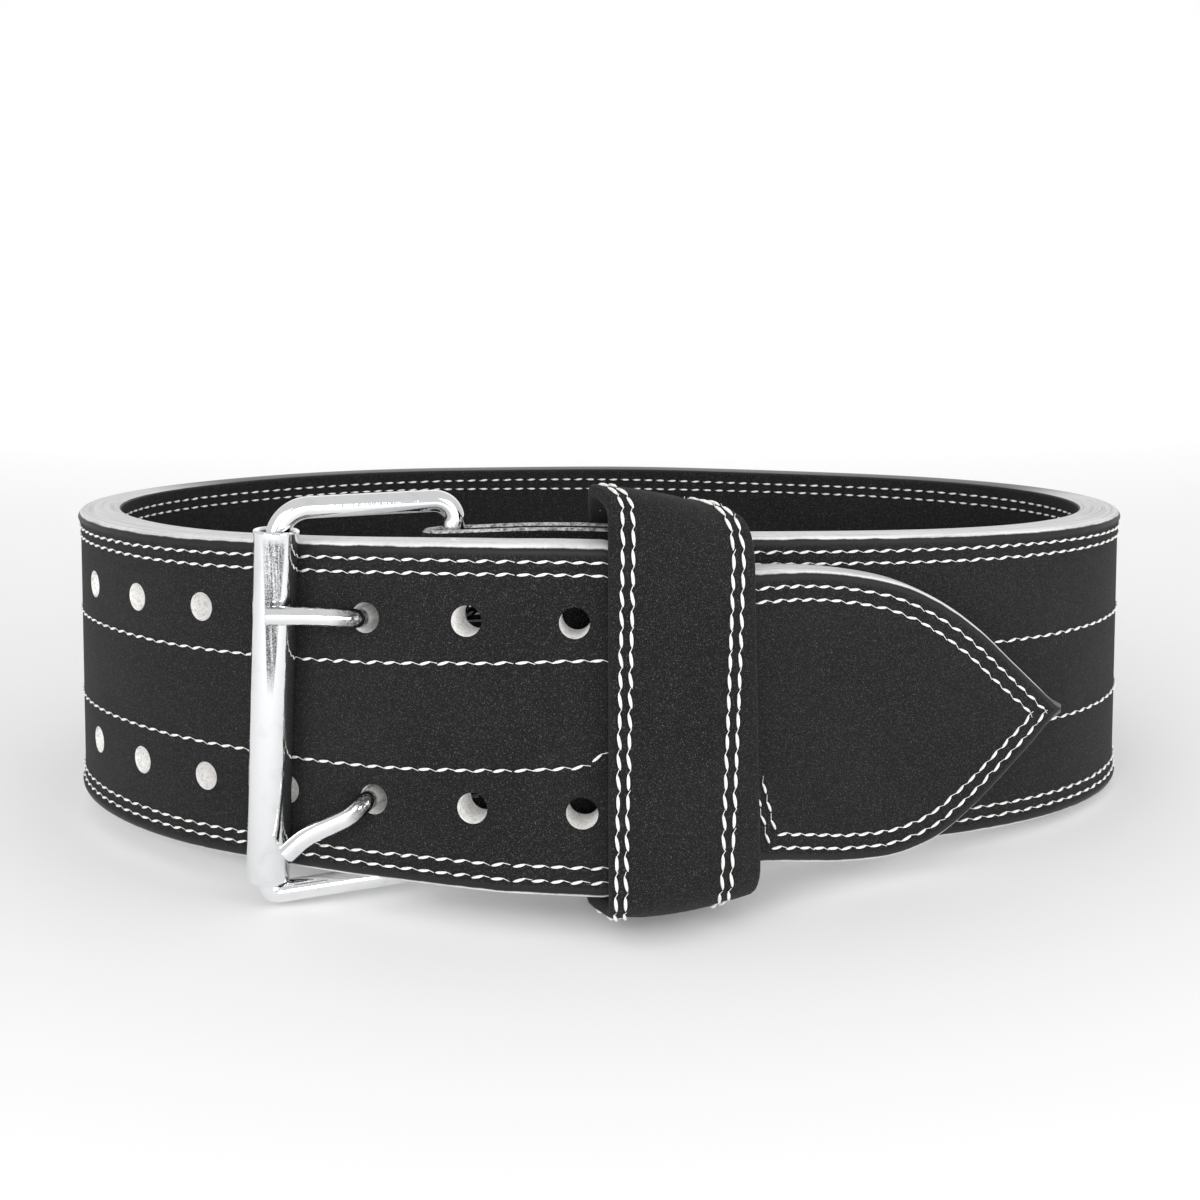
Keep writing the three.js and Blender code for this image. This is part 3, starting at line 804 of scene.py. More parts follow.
def solid_from(rings, closed, uv=None):
    """Quads through equal rings of points, closed on itself or capped at both ends."""
    rings = np.asarray(rings)
    count, sides = rings.shape[:2]
    spans = count if closed else count - 1
    i, j = np.meshgrid(np.arange(spans), np.arange(sides), indexing="ij")
    a = i * sides + j
    b = (i + 1) % count * sides + j
    c = (i + 1) % count * sides + (j + 1) % sides
    d = i * sides + (j + 1) % sides
    faces = np.stack([a, b, c, d], -1).reshape(-1, 4).tolist()
    if not closed:
        faces.append(list(range(sides)))
        faces.append(list(range((count - 1) * sides, count * sides))[::-1])
    mesh = bpy.data.meshes.new("mesh")
    mesh.from_pydata(set_down(rings.reshape(-1, 3)).tolist(), [], faces)
    if uv is not None:
        layer = mesh.uv_layers.new(name="strap")
        corners = np.empty(len(mesh.loops), dtype=np.int32)
        mesh.loops.foreach_get("vertex_index", corners)
        flat = np.asarray(uv).reshape(-1, 2)
        layer.data.foreach_set("uv", flat[corners].astype(np.float32).ravel())
    return mesh


CREASE = 40  # degrees between two faces from which their edge shows
ROUND_CREASE = 60  # the same on wire, tube and the keeper's rounded band


def tidy(mesh, sharp=CREASE):
    """Outward faces, smooth shading and creases where faces meet at more than sharp degrees."""
    work = bmesh.new()
    work.from_mesh(mesh)
    bmesh.ops.recalc_face_normals(work, faces=work.faces)
    if work.calc_volume(signed=True) < 0:
        bmesh.ops.reverse_faces(work, faces=work.faces)
    for face in work.faces:
        face.smooth = True
    for edge in work.edges:
        edge.smooth = edge.is_manifold and edge.calc_face_angle(0) < math.radians(sharp)
    work.to_mesh(mesh)
    work.free()
    mesh.update()


def as_object(name, mesh, *materials):
    mesh.name = name
    for material in materials:
        mesh.materials.append(material)
    piece = bpy.data.objects.new(name, mesh)
    bpy.context.scene.collection.objects.link(piece)
    return piece


def plain_mesh(piece):
    """The evaluated piece as a mesh of its own, with its modifiers gone."""
    graph = bpy.context.evaluated_depsgraph_get()
    mesh = bpy.data.meshes.new_from_object(piece.evaluated_get(graph))
    piece.modifiers.clear()
    old = piece.data
    piece.data = mesh
    bpy.data.meshes.remove(old)
    return mesh


def cut(piece, cutters):
    """Takes the cutters' closed meshes out of the piece."""
    work = bmesh.new()
    for mesh in cutters:
        work.from_mesh(mesh)
    bmesh.ops.recalc_face_normals(work, faces=work.faces)
    joined = bpy.data.meshes.new("cutters")
    work.to_mesh(joined)
    work.free()
    knife = as_object("cutters", joined)
    modifier = piece.modifiers.new("cut", "BOOLEAN")
    modifier.operation = "DIFFERENCE"
    modifier.solver = "MANIFOLD"
    modifier.object = knife
    plain_mesh(piece)
    bpy.data.objects.remove(knife)


def declare(piece, body, slot, *nodes):
    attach(piece, body)
    if nodes:
        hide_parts(*nodes)


# Strap

def tongue_shape(length):
    to_tip = (TIP_LENGTH - np.asarray(length, float)) / STRAP_WIDTH
    return STRAP_WIDTH * flowing(TONGUE, 1, to_tip), STRAP_WIDTH * flowing(TONGUE, 2, to_tip)


def flare_at(length):
    """How far the outer rim flares, less on the tongue and not at all at either end."""
    start = FOLD_REACH + FLARE_START
    rise = ease(length, start, start + FLARE_RUN)
    flatter = 1 - TONGUE_FLARE_LOSS * ease(length, PRONG_HOLE - FLARE_RUN, PRONG_HOLE)
    fade = 1 - ease(length, TIP_LENGTH - TIP_FLARE_FADE * STRAP_WIDTH, TIP_LENGTH)
    return RIM_FLARE * rise * flatter * fade


def rim_swell(from_edge, flare):
    """How far the face stands out towards the rim."""
    share = np.clip(1 - np.asarray(from_edge, float) / RIM_HEIGHT, 0, 1)
    return flare * share * share * (1 + RIM_CURL - RIM_CURL * share)


def face_depth(length, height, side=1):
    """Depth of the outer or inner face at a height over the strap's middle."""
    half, middle = tongue_shape(length)
    flare = flare_at(length) * (1 if side > 0 else INNER_FLARE)
    return HALF_THICKNESS + rim_swell(half - np.abs(height - middle), flare)


FACE_STEPS = 12
RIM_STEPS = 5
ROUND_STEPS = 5
EDGE_STEPS = 5
# Near the tip the rim and the rounded corners take at most these shares of the half width
RIM_SHARE = 0.55
OUTER_ROUND_SHARE = 0.45
INNER_ROUND_SHARE = 0.3


def strap_section(length, thickness):
    """Depths, heights and ways in from the edge of the points round the strap's section."""
    half, middle = (float(value) for value in tongue_shape(length))
    flare = float(flare_at(length))
    face = thickness / 2
    inner_flare = INNER_FLARE * flare
    band = min(RIM_HEIGHT, half * RIM_SHARE)
    outer_round = min(OUTER_ROUND, half * OUTER_ROUND_SHARE, face)
    inner_round = min(INNER_ROUND, half * INNER_ROUND_SHARE, face / 2)
    upper = []  # upper half of the section, from the outer face's middle to the inner face's
    for share in np.linspace(0, 1, FACE_STEPS // 2, endpoint=False):
        height = share * (half - band)
        upper.append((face, height, half - height))
    for share in np.linspace(0, 1, RIM_STEPS, endpoint=False):
        height = half - band + share * (band - outer_round)
        upper.append((face + float(rim_swell(half - height, flare)), height, half - height))
    corner = face + float(rim_swell(outer_round, flare))
    for angle in np.linspace(0, math.pi / 2, ROUND_STEPS, endpoint=False):
        upper.append((corner - outer_round * (1 - math.cos(angle)),
                      half - outer_round * (1 - math.sin(angle)),
                      outer_round * (1 - angle / (math.pi / 2))))
    inner = face + float(rim_swell(inner_round, inner_flare))
    start, end = corner - outer_round, inner_round - inner
    for share in np.linspace(0, 1, EDGE_STEPS):
        dome = EDGE_DOME * 4 * share * (1 - share) * min(1, half / DOME_FULL_AT)
        depth = start + (end - start) * share
        upper.append((depth, half + dome, -min(share, 1 - share) * (start - end)))
    for angle in np.linspace(0, math.pi / 2, ROUND_STEPS)[1:]:
        upper.append((-inner + inner_round * (1 - math.sin(angle)),
                      half - inner_round * (1 - math.cos(angle)),
                      INNER_PAINT * inner_round * angle / (math.pi / 2)))
    for share in np.linspace(0, 1, RIM_STEPS)[1:]:
        height = half - inner_round - share * (band - inner_round)
        upper.append((-face - float(rim_swell(half - height, inner_flare)), height,
                      half - height + (INNER_PAINT - 1) * inner_round))
    for share in np.linspace(0, 1, FACE_STEPS // 2, endpoint=False)[1:]:
        height = (1 - share) * (half - band)
        upper.append((-face, height, half - height))
    upper.append((-face, 0.0, half))
    lower = [(depth, -height, inwards) for depth, height, inwards in upper[1:-1]]
    section = np.array(upper + lower[::-1])
    return section[:, 0], section[:, 1] + middle, section[:, 2]


RING_STEP = 2.4
TIP_STEP = 1.2
TIP_STRETCH = 50.0
TAIL_STEPS = 8
RAMP_STEPS = 5


def strap_lengths():
    """Lengths of the strap's sections, and where the skived tail's ramp starts and ends."""
    tail = FOLD_REACH - TAIL_LAP
    ramp = FOLD_REACH + 2 * CLEARANCE
    full = ramp + SKIVE_RAMP
    fine_from = TIP_LENGTH - TIP_STRETCH
    stretches = [
        np.linspace(tail, ramp, TAIL_STEPS, endpoint=False),
        np.linspace(ramp, full, RAMP_STEPS, endpoint=False),
        np.linspace(full, fine_from, int((fine_from - full) / RING_STEP), endpoint=False),
        np.linspace(fine_from, TIP_LENGTH, int(TIP_STRETCH / TIP_STEP)),
    ]
    return np.concatenate(stretches), ramp, full


def hole_spot(number, row):
    shifted = row == 1 and number >= LONG_STRETCH_FROM
    return PRONG_HOLE + number * HOLE_PITCH + (LOWER_ROW_SHIFT if shifted else 0)


HOLE_SIDES = 28
WALL_MARGIN = 0.15
WALL_SLANT = 0.5  # a wall's normal lies across the hole, its share along the hole under this


def hole_cutter(number, row):
    point, along, out = spot_at(hole_spot(number, row))
    angle = np.linspace(0, 2 * math.pi, HOLE_SIDES, endpoint=False)
    radius = HOLE_DIAMETER / 2
    rings = []
    for depth in (-STRAP_THICKNESS, STRAP_THICKNESS):
        plan = point + out * depth + along * (radius * np.cos(angle))[:, None]
        rings.append(place(plan, HOLE_ROWS[row] + radius * np.sin(angle)))
    return solid_from(rings, False)


def mark_hole_walls(mesh):
    """Faces that lie all round on a hole's radius get the pale leather."""
    centres = np.array([face.center for face in mesh.polygons])
    normals = np.array([face.normal for face in mesh.polygons])
    walls = np.zeros(len(centres), bool)
    for number in HOLES:
        for row in (0, 1):
            length = hole_spot(number, row)
            point, _, out = spot_at(length)
            inner = set_down(place(point - out * HALF_THICKNESS, HOLE_ROWS[row]))
            outer = set_down(place(point + out * HALF_THICKNESS, HOLE_ROWS[row]))
            axis = unit(outer - inner)
            offset = centres - (inner + outer) / 2
            depth = offset @ axis
            radial = np.linalg.norm(offset - depth[:, None] * axis, axis=1)
            near = (np.abs(depth) < STRAP_THICKNESS * MM) & (radial < (HOLE_DIAMETER / 2 + WALL_MARGIN) * MM)
            walls |= near & (np.abs(normals @ axis) < WALL_SLANT)
    for face, wall in zip(mesh.polygons, walls):
        face.material_index = int(wall)


def make_strap():
    """The leather swept along its path from the skived tail to the tongue's tip, then punched."""
    lengths, ramp, full = strap_lengths()
    rings = []
    skin = []
    for length in lengths:
        share = float(ease(length, ramp, full))
        thickness = TAIL_THICKNESS + (STRAP_THICKNESS - TAIL_THICKNESS) * share
        depths, heights, inwards = strap_section(length, thickness)
        point, _, out = spot_at(length)
        rings.append(place(point + out * depths[:, None], heights))
        skin.append(np.stack([np.full(len(depths), length * MM), inwards * MM], -1))
    strap = as_object("strap", solid_from(rings, False, skin), STRAP_SUEDE, HOLE_WALL)
    tidy(strap.data)
    cut(strap, [hole_cutter(number, row) for number in HOLES for row in (0, 1)])
    mark_hole_walls(strap.data)
    tidy(strap.data)
    declare(strap, "belt", "suede", "belt_strap")


# Buckle

WIRE_SIDES = 28
BEND_STEPS = 13
ARM_STEPS = 14
ROLLER_SIDES = 64
LIP_STEPS = 5
PRONG_SIDES = 24
PRONG_STEPS = 9
PRONG_CREASE = 38  # the chamfer at a prong's end shows


def wire_rings(points, radius, sides, closed, start=(0, 0, 1)):
    """Circles along points, turned as little as may be."""
    points = np.asarray(points, float)
    count = len(points)
    if closed:
        along = unit(np.roll(points, -1, 0) - np.roll(points, 1, 0))
    else:
        along = unit(np.gradient(points, axis=0))
    side = np.array(start, float)
    angle = np.linspace(0, 2 * math.pi, sides, endpoint=False)
    radius = np.broadcast_to(radius, (count,))
    rings = []
    for i in range(count):
        side = unit(side - along[i] * (side @ along[i]))
        up = np.cross(along[i], side)
        circle = np.outer(np.cos(angle), side) + np.outer(np.sin(angle), up)
        rings.append(points[i] + radius[i] * circle)
    return np.array(rings)


def make_frame():
    """One closed wire with four bends."""
    points = []
    for i, (corner, bend) in enumerate(zip(CORNERS, FRAME_CORNERS)):
        back = unit(CORNERS[i - 1] - corner)
        on = unit(CORNERS[(i + 1) % 4] - corner)
        centre = corner + back * bend + on * bend
        for angle in np.linspace(0, math.pi / 2, BEND_STEPS):
            points.append(centre - on * bend * math.cos(angle) - back * bend * math.sin(angle))
        start = corner + on * bend
        end = CORNERS[(i + 1) % 4] - on * FRAME_CORNERS[(i + 1) % 4]
        for share in np.linspace(0, 1, ARM_STEPS)[1:-1]:
            points.append(start + (end - start) * share)
    normal = unit(np.cross(CORNERS[1] - CORNERS[0], CORNERS[2] - CORNERS[1]))
    rings = wire_rings(points, BAR_RADIUS, WIRE_SIDES, True, normal)
    piece = as_object("frame_wire", solid_from(rings, True), CHROME)
    tidy(piece.data, ROUND_CREASE)
    declare(piece, "belt", "chrome", "buckle_frame")


def make_roller():
    """A rolled tube with rounded lips; its mouth is bell shaped at the top."""
    inner = ROLLER_BORE / 2
    lip = (ROLLER_RADIUS - inner) * LIP_SHARE
    profile = []  # radius and rise, up the outside and down the bore

    def lip_arc(radius, rise, start, end):
        for angle in np.linspace(start, end, LIP_STEPS):
            profile.append((radius + lip * math.cos(angle), rise + lip * math.sin(angle)))

    lip_arc(ROLLER_RADIUS - lip, ROLLER_LOW + lip, -math.pi / 2, 0)
    for rise in np.linspace(ROLLER_LOW + 2, ROLLER_HIGH - BELL_REACH, 14):
        profile.append((ROLLER_RADIUS, rise))
    for share in (0.4, 0.7, 0.9):
        profile.append((ROLLER_RADIUS + BELL * share * share, ROLLER_HIGH - BELL_REACH * (1 - share)))
    lip_arc(ROLLER_RADIUS + BELL - lip, ROLLER_HIGH - lip, 0, math.pi / 2)
    profile.append((inner + lip, ROLLER_HIGH - 0.1))
    profile.append((inner + 0.1, ROLLER_HIGH - 0.8))
    for rise in np.linspace(ROLLER_HIGH - 3, ROLLER_LOW + 1, 10):
        profile.append((inner, rise))
    profile.append((inner + lip * 0.4, ROLLER_LOW + 0.15))
    rings = [roller_ring(radius, rise, ROLLER_SIDES) for radius, rise in profile]
    piece = as_object("roller_tube", solid_from(rings, True), ROLLER_CHROME)
    tidy(piece.data, ROUND_CREASE)
    declare(piece, "roller", "chrome", "buckle_roller")


def catmull_rom(points, steps):
    """A smooth curve through points, with centripetal spacing."""
    points = np.asarray(points, float)
    first = 2 * points[0] - points[1]
    last = 2 * points[-1] - points[-2]
    padded = np.concatenate([[first], points, [last]])
    curve = []
    for i in range(len(points) - 1):
        p = padded[i:i + 4]
        gaps = np.linalg.norm(np.diff(p, axis=0), axis=1) ** 0.5
        speeds = np.diff(p, axis=0) / gaps[:, None]
        leaving = (speeds[0] - (p[2] - p[0]) / (gaps[0] + gaps[1]) + speeds[1]) * gaps[1]
        arriving = (speeds[1] - (p[3] - p[1]) / (gaps[1] + gaps[2]) + speeds[2]) * gaps[1]
        for t in np.linspace(0, 1, steps, endpoint=False):
            curve.append((2 * t ** 3 - 3 * t ** 2 + 1) * p[1] + (t ** 3 - 2 * t ** 2 + t) * leaving
                         + (3 * t ** 2 - 2 * t ** 3) * p[2] + (t ** 3 - t ** 2) * arriving)
    curve.append(points[-1])
    return np.array(curve)


def turned(vector, angle):
    sine, cosine = math.sin(angle), math.cos(angle)
    return np.array([vector[0] * cosine - vector[1] * sine, vector[0] * sine + vector[1] * cosine])


def prong_points(row):
    """From the eye round the bar, through the hole from behind, to the roller."""
    point, along, out = spot_at(hole_spot(0, row))
    height, tip_height = HOLE_ROWS[row], PRONG_TIPS[row]
    bar = BAR_PLAN + TWIST_WAY * height
    roller = ROLLER_PLAN + TWIST_WAY * tip_height
    to_roller = unit(roller - bar)
    front = -outwards(to_roller)
    points = []
    for angle in np.radians(EYE_ANGLES):
        plan = bar + EYE_RADIUS * (to_roller * math.cos(angle) + front * math.sin(angle))
        points.append(place(plan, height))
    exit_depth = HALF_THICKNESS + PRONG_RADIUS + PRONG_EXIT
    through = [  # depth from the strap's middle, shift along it and share of the way to the tip's height
        (-HALF_THICKNESS - 4, 1.4, 0),
        (-HALF_THICKNESS, -0.6, 0),
        (0, -1.2, 0),
        (HALF_THICKNESS, -1.3, 0),
        (exit_depth - 1.7, -2.2, 0.07),
        (exit_depth, -PRONG_LEAVE, 0.25),
    ]
    for depth, shift, share in through:
        points.append(place(point + out * depth + along * shift, height + (tip_height - height) * share))
    leave = point + out * exit_depth - along * PRONG_LEAVE
    reach = ROLLER_RADIUS + CLEARANCE + PRONG_RADIUS
    far = np.linalg.norm(roller - leave)
    run = turned(unit(roller - leave), math.asin(reach / far))
    seat = leave + run * math.sqrt(far * far - reach * reach)
    points.append(place((leave + seat) / 2, height + (tip_height - height) * PRONG_MIDWAY_CLIMB))
    points.append(place(seat + run * PRONG_OVERHANGS[row], tip_height))
    return points


def shaded_at_hole(row):
    """Painted shade and dark reflection where the prong dips to its hole."""
    point, _, out = spot_at(hole_spot(0, row))
    mouth = set_down(place(point + out * HALF_THICKNESS, HOLE_ROWS[row]))
    proud = set_down(place(point + out * (HALF_THICKNESS + 1), HOLE_ROWS[row]))
    way = tuple(unit(proud - mouth))
    mouth = tuple(mouth)

    def patch(finish):
        away = finish.vectors("DISTANCE", finish.place, mouth, "Value")
        spot = finish.vectors("SUBTRACT", finish.place, mouth)
        rise = finish.vectors("DOT_PRODUCT", spot, way, "Value")
        # Painted shade and reflection: darker near the hole, where the prong faces the dark leather
        dark = away.step(*HOLE_SHADE_REACH) * rise.step(*HOLE_SHADE_RISE)
        return dark * (finish.noise(HOLE_SHADE_SPECKLE, 3, 0.7).step(0.3, 0.6) * 0.45 + 0.5)

    return patch


def make_prong(name, row, node):
    """A wire with an eye at one end and a chamfered tip at the other."""
    curve = catmull_rom(prong_points(row), PRONG_STEPS)
    end_way = unit(curve[-1] - curve[-2])
    curve = np.concatenate([curve[:-1], [curve[-1] - end_way * PRONG_CHAMFER], [curve[-1]]])
    radius = np.full(len(curve), PRONG_RADIUS)
    radius[[0, -1]] -= PRONG_CHAMFER
    rings = wire_rings(curve, radius, PRONG_SIDES, False)
    finish = chrome_finish(name + "_chrome", shaded_at_hole(row))
    piece = as_object(name, solid_from(rings, False), finish)
    tidy(piece.data, PRONG_CREASE)
    declare(piece, "belt", "chrome", node)


FOLD_LEG_STEPS = 30
FOLD_TURN_STEPS = 19
FOLD_FACE_STEPS = 9
FOLD_FACE_INSET = 6.0  # from the fold's edges to the first points on its faces


def fold_section():
    """Depths and heights round the fold's section, its corners slightly cut."""
    half = FOLD_THICKNESS / 2
    low, high = FOLD_RISE - FOLD_HEIGHT / 2, FOLD_RISE + FOLD_HEIGHT / 2
    outer = [(half, low + FOLD_CORNER)]
    for height in np.linspace(low + FOLD_FACE_INSET, high - FOLD_FACE_INSET, FOLD_FACE_STEPS):
        outer.append((half, height))
    outer += [(half, high - FOLD_CORNER), (half - FOLD_CORNER, high)]
    inner = [(-depth, height) for depth, height in reversed(outer)]
    lower_edge = [(FOLD_CORNER - half, low), (half - FOLD_CORNER, low)]
    return np.array(outer + inner + lower_edge).T


def make_fold():
    """Thin leather turned round the bar, with windows for the prongs."""
    middle = FOLD_INSIDE + FOLD_THICKNESS / 2
    plans, ways, shares = [], [], []
    leg = np.linspace(1, 0, FOLD_LEG_STEPS, endpoint=False)
    point, _, out = base_at(FOLD_REACH * leg)
    plans += list(point + out * middle)
    ways += list(out)
    shares += list(1 - leg)
    _, bar_along, bar_out = base_at(0.0)
    nose = BAR_PLAN - bar_along * FOLD_SLACK
    for angle in np.linspace(0, math.pi, FOLD_TURN_STEPS):
        way = bar_out * math.cos(angle) - bar_along * math.sin(angle)
        plans.append(nose + way * middle)
        ways.append(way)
        shares.append(1.0)
    plans += list((point - out * middle)[::-1])
    ways += list(-out[::-1])
    shares += list((1 - leg)[::-1])
    depths, heights = fold_section()
    rings = [place_buckle(plan + way * depths[:, None], heights, float(ease(share, FOLD_TWIST_FROM, 1)))
             for plan, way, share in zip(plans, ways, shares)]
    piece = as_object("fold", solid_from(rings, False), SUEDE, CUT_EDGE)
    tidy(piece.data)
    square = np.array([[-1, -1], [1, -1], [1, 1], [-1, 1]]) * SLOT_REACH
    plan = BAR_PLAN + square[:, :1] * bar_along + square[:, 1:] * bar_out
    slots = []
    for row in HOLE_ROWS:
        ends = [place_buckle(plan, np.full(4, row + end)) for end in (-SLOT_HEIGHT / 2, SLOT_HEIGHT / 2)]
        slots.append(solid_from(ends, False))
    cut(piece, slots)
    for face in piece.data.polygons:
        face.material_index = int(abs(face.normal.z) > 0.4)  # its upper and lower edges are cut
    tidy(piece.data)
    declare(piece, "belt", "fold_leather", "buckle_fold")


# Keeper

KEEPER_ARC_STEPS = 9
KEEPER_SIDE_STEPS = 12
KEEPER_FACE_STEPS = 44
KEEPER_INSIDE_STEPS = 14
KEEPER_ROUND_STEPS = 9
KEEPER_ROUND = 0.038  # reach of its rounded ends as a share of its length


def keeper_line(share, offset):
    """Points round the keeper at a share of its length, off its inner face by offset."""
    length = KEEPER_FROM + KEEPER_LENGTH * share
    point, along, out = base_at(length)
    back_face = -max(HALF_THICKNESS, FOLD_INSIDE + FOLD_THICKNESS) - 3 * CLEARANCE
    lift = np.linalg.norm(strap_point(bearing_at(length) + TURN) - point)
    front_face = lift + HALF_THICKNESS + RIM_PLAY + float(flowing(KEEPER, 3, share))
    top = HALF_WIDTH + float(flowing(KEEPER, 1, share))
    back_top = FOLD_RISE + FOLD_HEIGHT / 2 + KEEPER_BACK_PLAY
    bottom = -HALF_WIDTH - float(flowing(KEEPER, 2, share))
    shoulder = KEEPER_BACK_CORNER + offset * (KEEPER_SHOULDER - KEEPER_BACK_CORNER) / KEEPER_THICKNESS
    corners = [
        (front_face, bottom, float(flowing(KEEPER, 4, share)) + offset, -90),
        (front_face, top, KEEPER_TOP_CORNER + offset, 0),
        (back_face, back_top, shoulder, 90),
        (back_face, bottom, KEEPER_LOW_CORNER + offset, 180),
    ]
    spots = []
    for depth, height, radius, start in corners:
        inset = radius - offset
        centre = (depth - math.copysign(inset, depth), height - math.copysign(inset, height))
        for angle in np.radians(np.linspace(start, start + 90, KEEPER_ARC_STEPS)):
            spots.append((centre[0] + radius * math.cos(angle), centre[1] + radius * math.sin(angle)))
    ring = []
    for i, spot in enumerate(spots):
        ring.append(spot)
        if i % KEEPER_ARC_STEPS == KEEPER_ARC_STEPS - 1:
            after = spots[(i + 1) % len(spots)]
            for step in np.linspace(0, 1, KEEPER_SIDE_STEPS)[1:-1]:
                ring.append(tuple(a + (b - a) * step for a, b in zip(spot, after)))
    depth, height = np.array(ring).T
    back = KEEPER_SKEW * ease(front_face - depth, 0, KEEPER_SKEW_DEPTH)
    plan = point + out * depth[:, None] - along * back[:, None]
    return place(plan, height), height


def keeper_swell(share):
    """The face is pulled in along its seams and a little full between them."""
    swell = 0.0
    for column, _ in KEEPER_COLUMNS[1:3]:
        swell -= SEAM_PULL * math.exp(-((share - column) / SEAM_REACH) ** 2)
    return swell + KEEPER_FULLNESS * math.sin(math.pi * share)


def make_keeper():
    """A closed leather loop with rounded edges, swept from the outline across its band."""
    start, end = KEEPER_ROUND, 1 - KEEPER_ROUND
    band = []  # share of the length and offset from the inner line

    def round_end(middle, first, last):
        for angle in np.radians(np.linspace(first, last, KEEPER_ROUND_STEPS)):
            offset = KEEPER_THICKNESS / 2 * (1 + math.sin(angle))
            band.append((middle + KEEPER_ROUND * math.cos(angle), offset))

    for share in np.linspace(start, end, KEEPER_FACE_STEPS):
        band.append((share, KEEPER_THICKNESS + keeper_swell(share)))
    round_end(end, 75, -75)
    for share in np.linspace(end, start, KEEPER_INSIDE_STEPS):
        band.append((share, 0.0))
    round_end(start, 255, 105)
    lines = [keeper_line(share, offset)[0] for share, offset in band]
    rings = np.array(lines).transpose(1, 0, 2)
    piece = as_object("keeper_band", solid_from(rings, True), SUEDE)
    tidy(piece.data, ROUND_CREASE)
    declare(piece, "belt", "suede", "keeper")


# Stitches

OUTER_STITCH = dict(Length=3.6 * MM, Width=0.88 * MM, Arch=0.28 * MM, Slant=0.32 * MM,
                    Pitch=STITCH_PITCH * MM, Thread=0.22 * MM, Wobble=0.1)
INNER_STITCH = dict(Length=3.1 * MM, Width=0.85 * MM, Arch=0.25 * MM, Slant=0.08 * MM,
                    Pitch=3.4 * MM, Thread=0.2 * MM, Wobble=0.07)
KEEPER_STITCH = dict(OUTER_STITCH, Length=4.6 * MM, Width=1.05 * MM, Pitch=KEEPER_PITCH * MM)
STITCH_POINTS = 6
STITCH_SIDES = 7
STITCH_NARROWING = 0.75  # lost from a stitch's width at its ends
THREAD_SIDES = 4
THREAD_START = 0.9  # the thread between two stitches starts at this share of their half length
NEAR = 0.5  # millimetres before and after a stitch, from which its way is taken
TONGUE_LINE_STEPS = 240
COLUMN_STEPS = 41


def group_input(tree, name, kind, value=None):
    socket = tree.interface.new_socket(name, in_out="INPUT", socket_type=kind)
    if value is not None:
        socket.default_value = value
    return socket.identifier


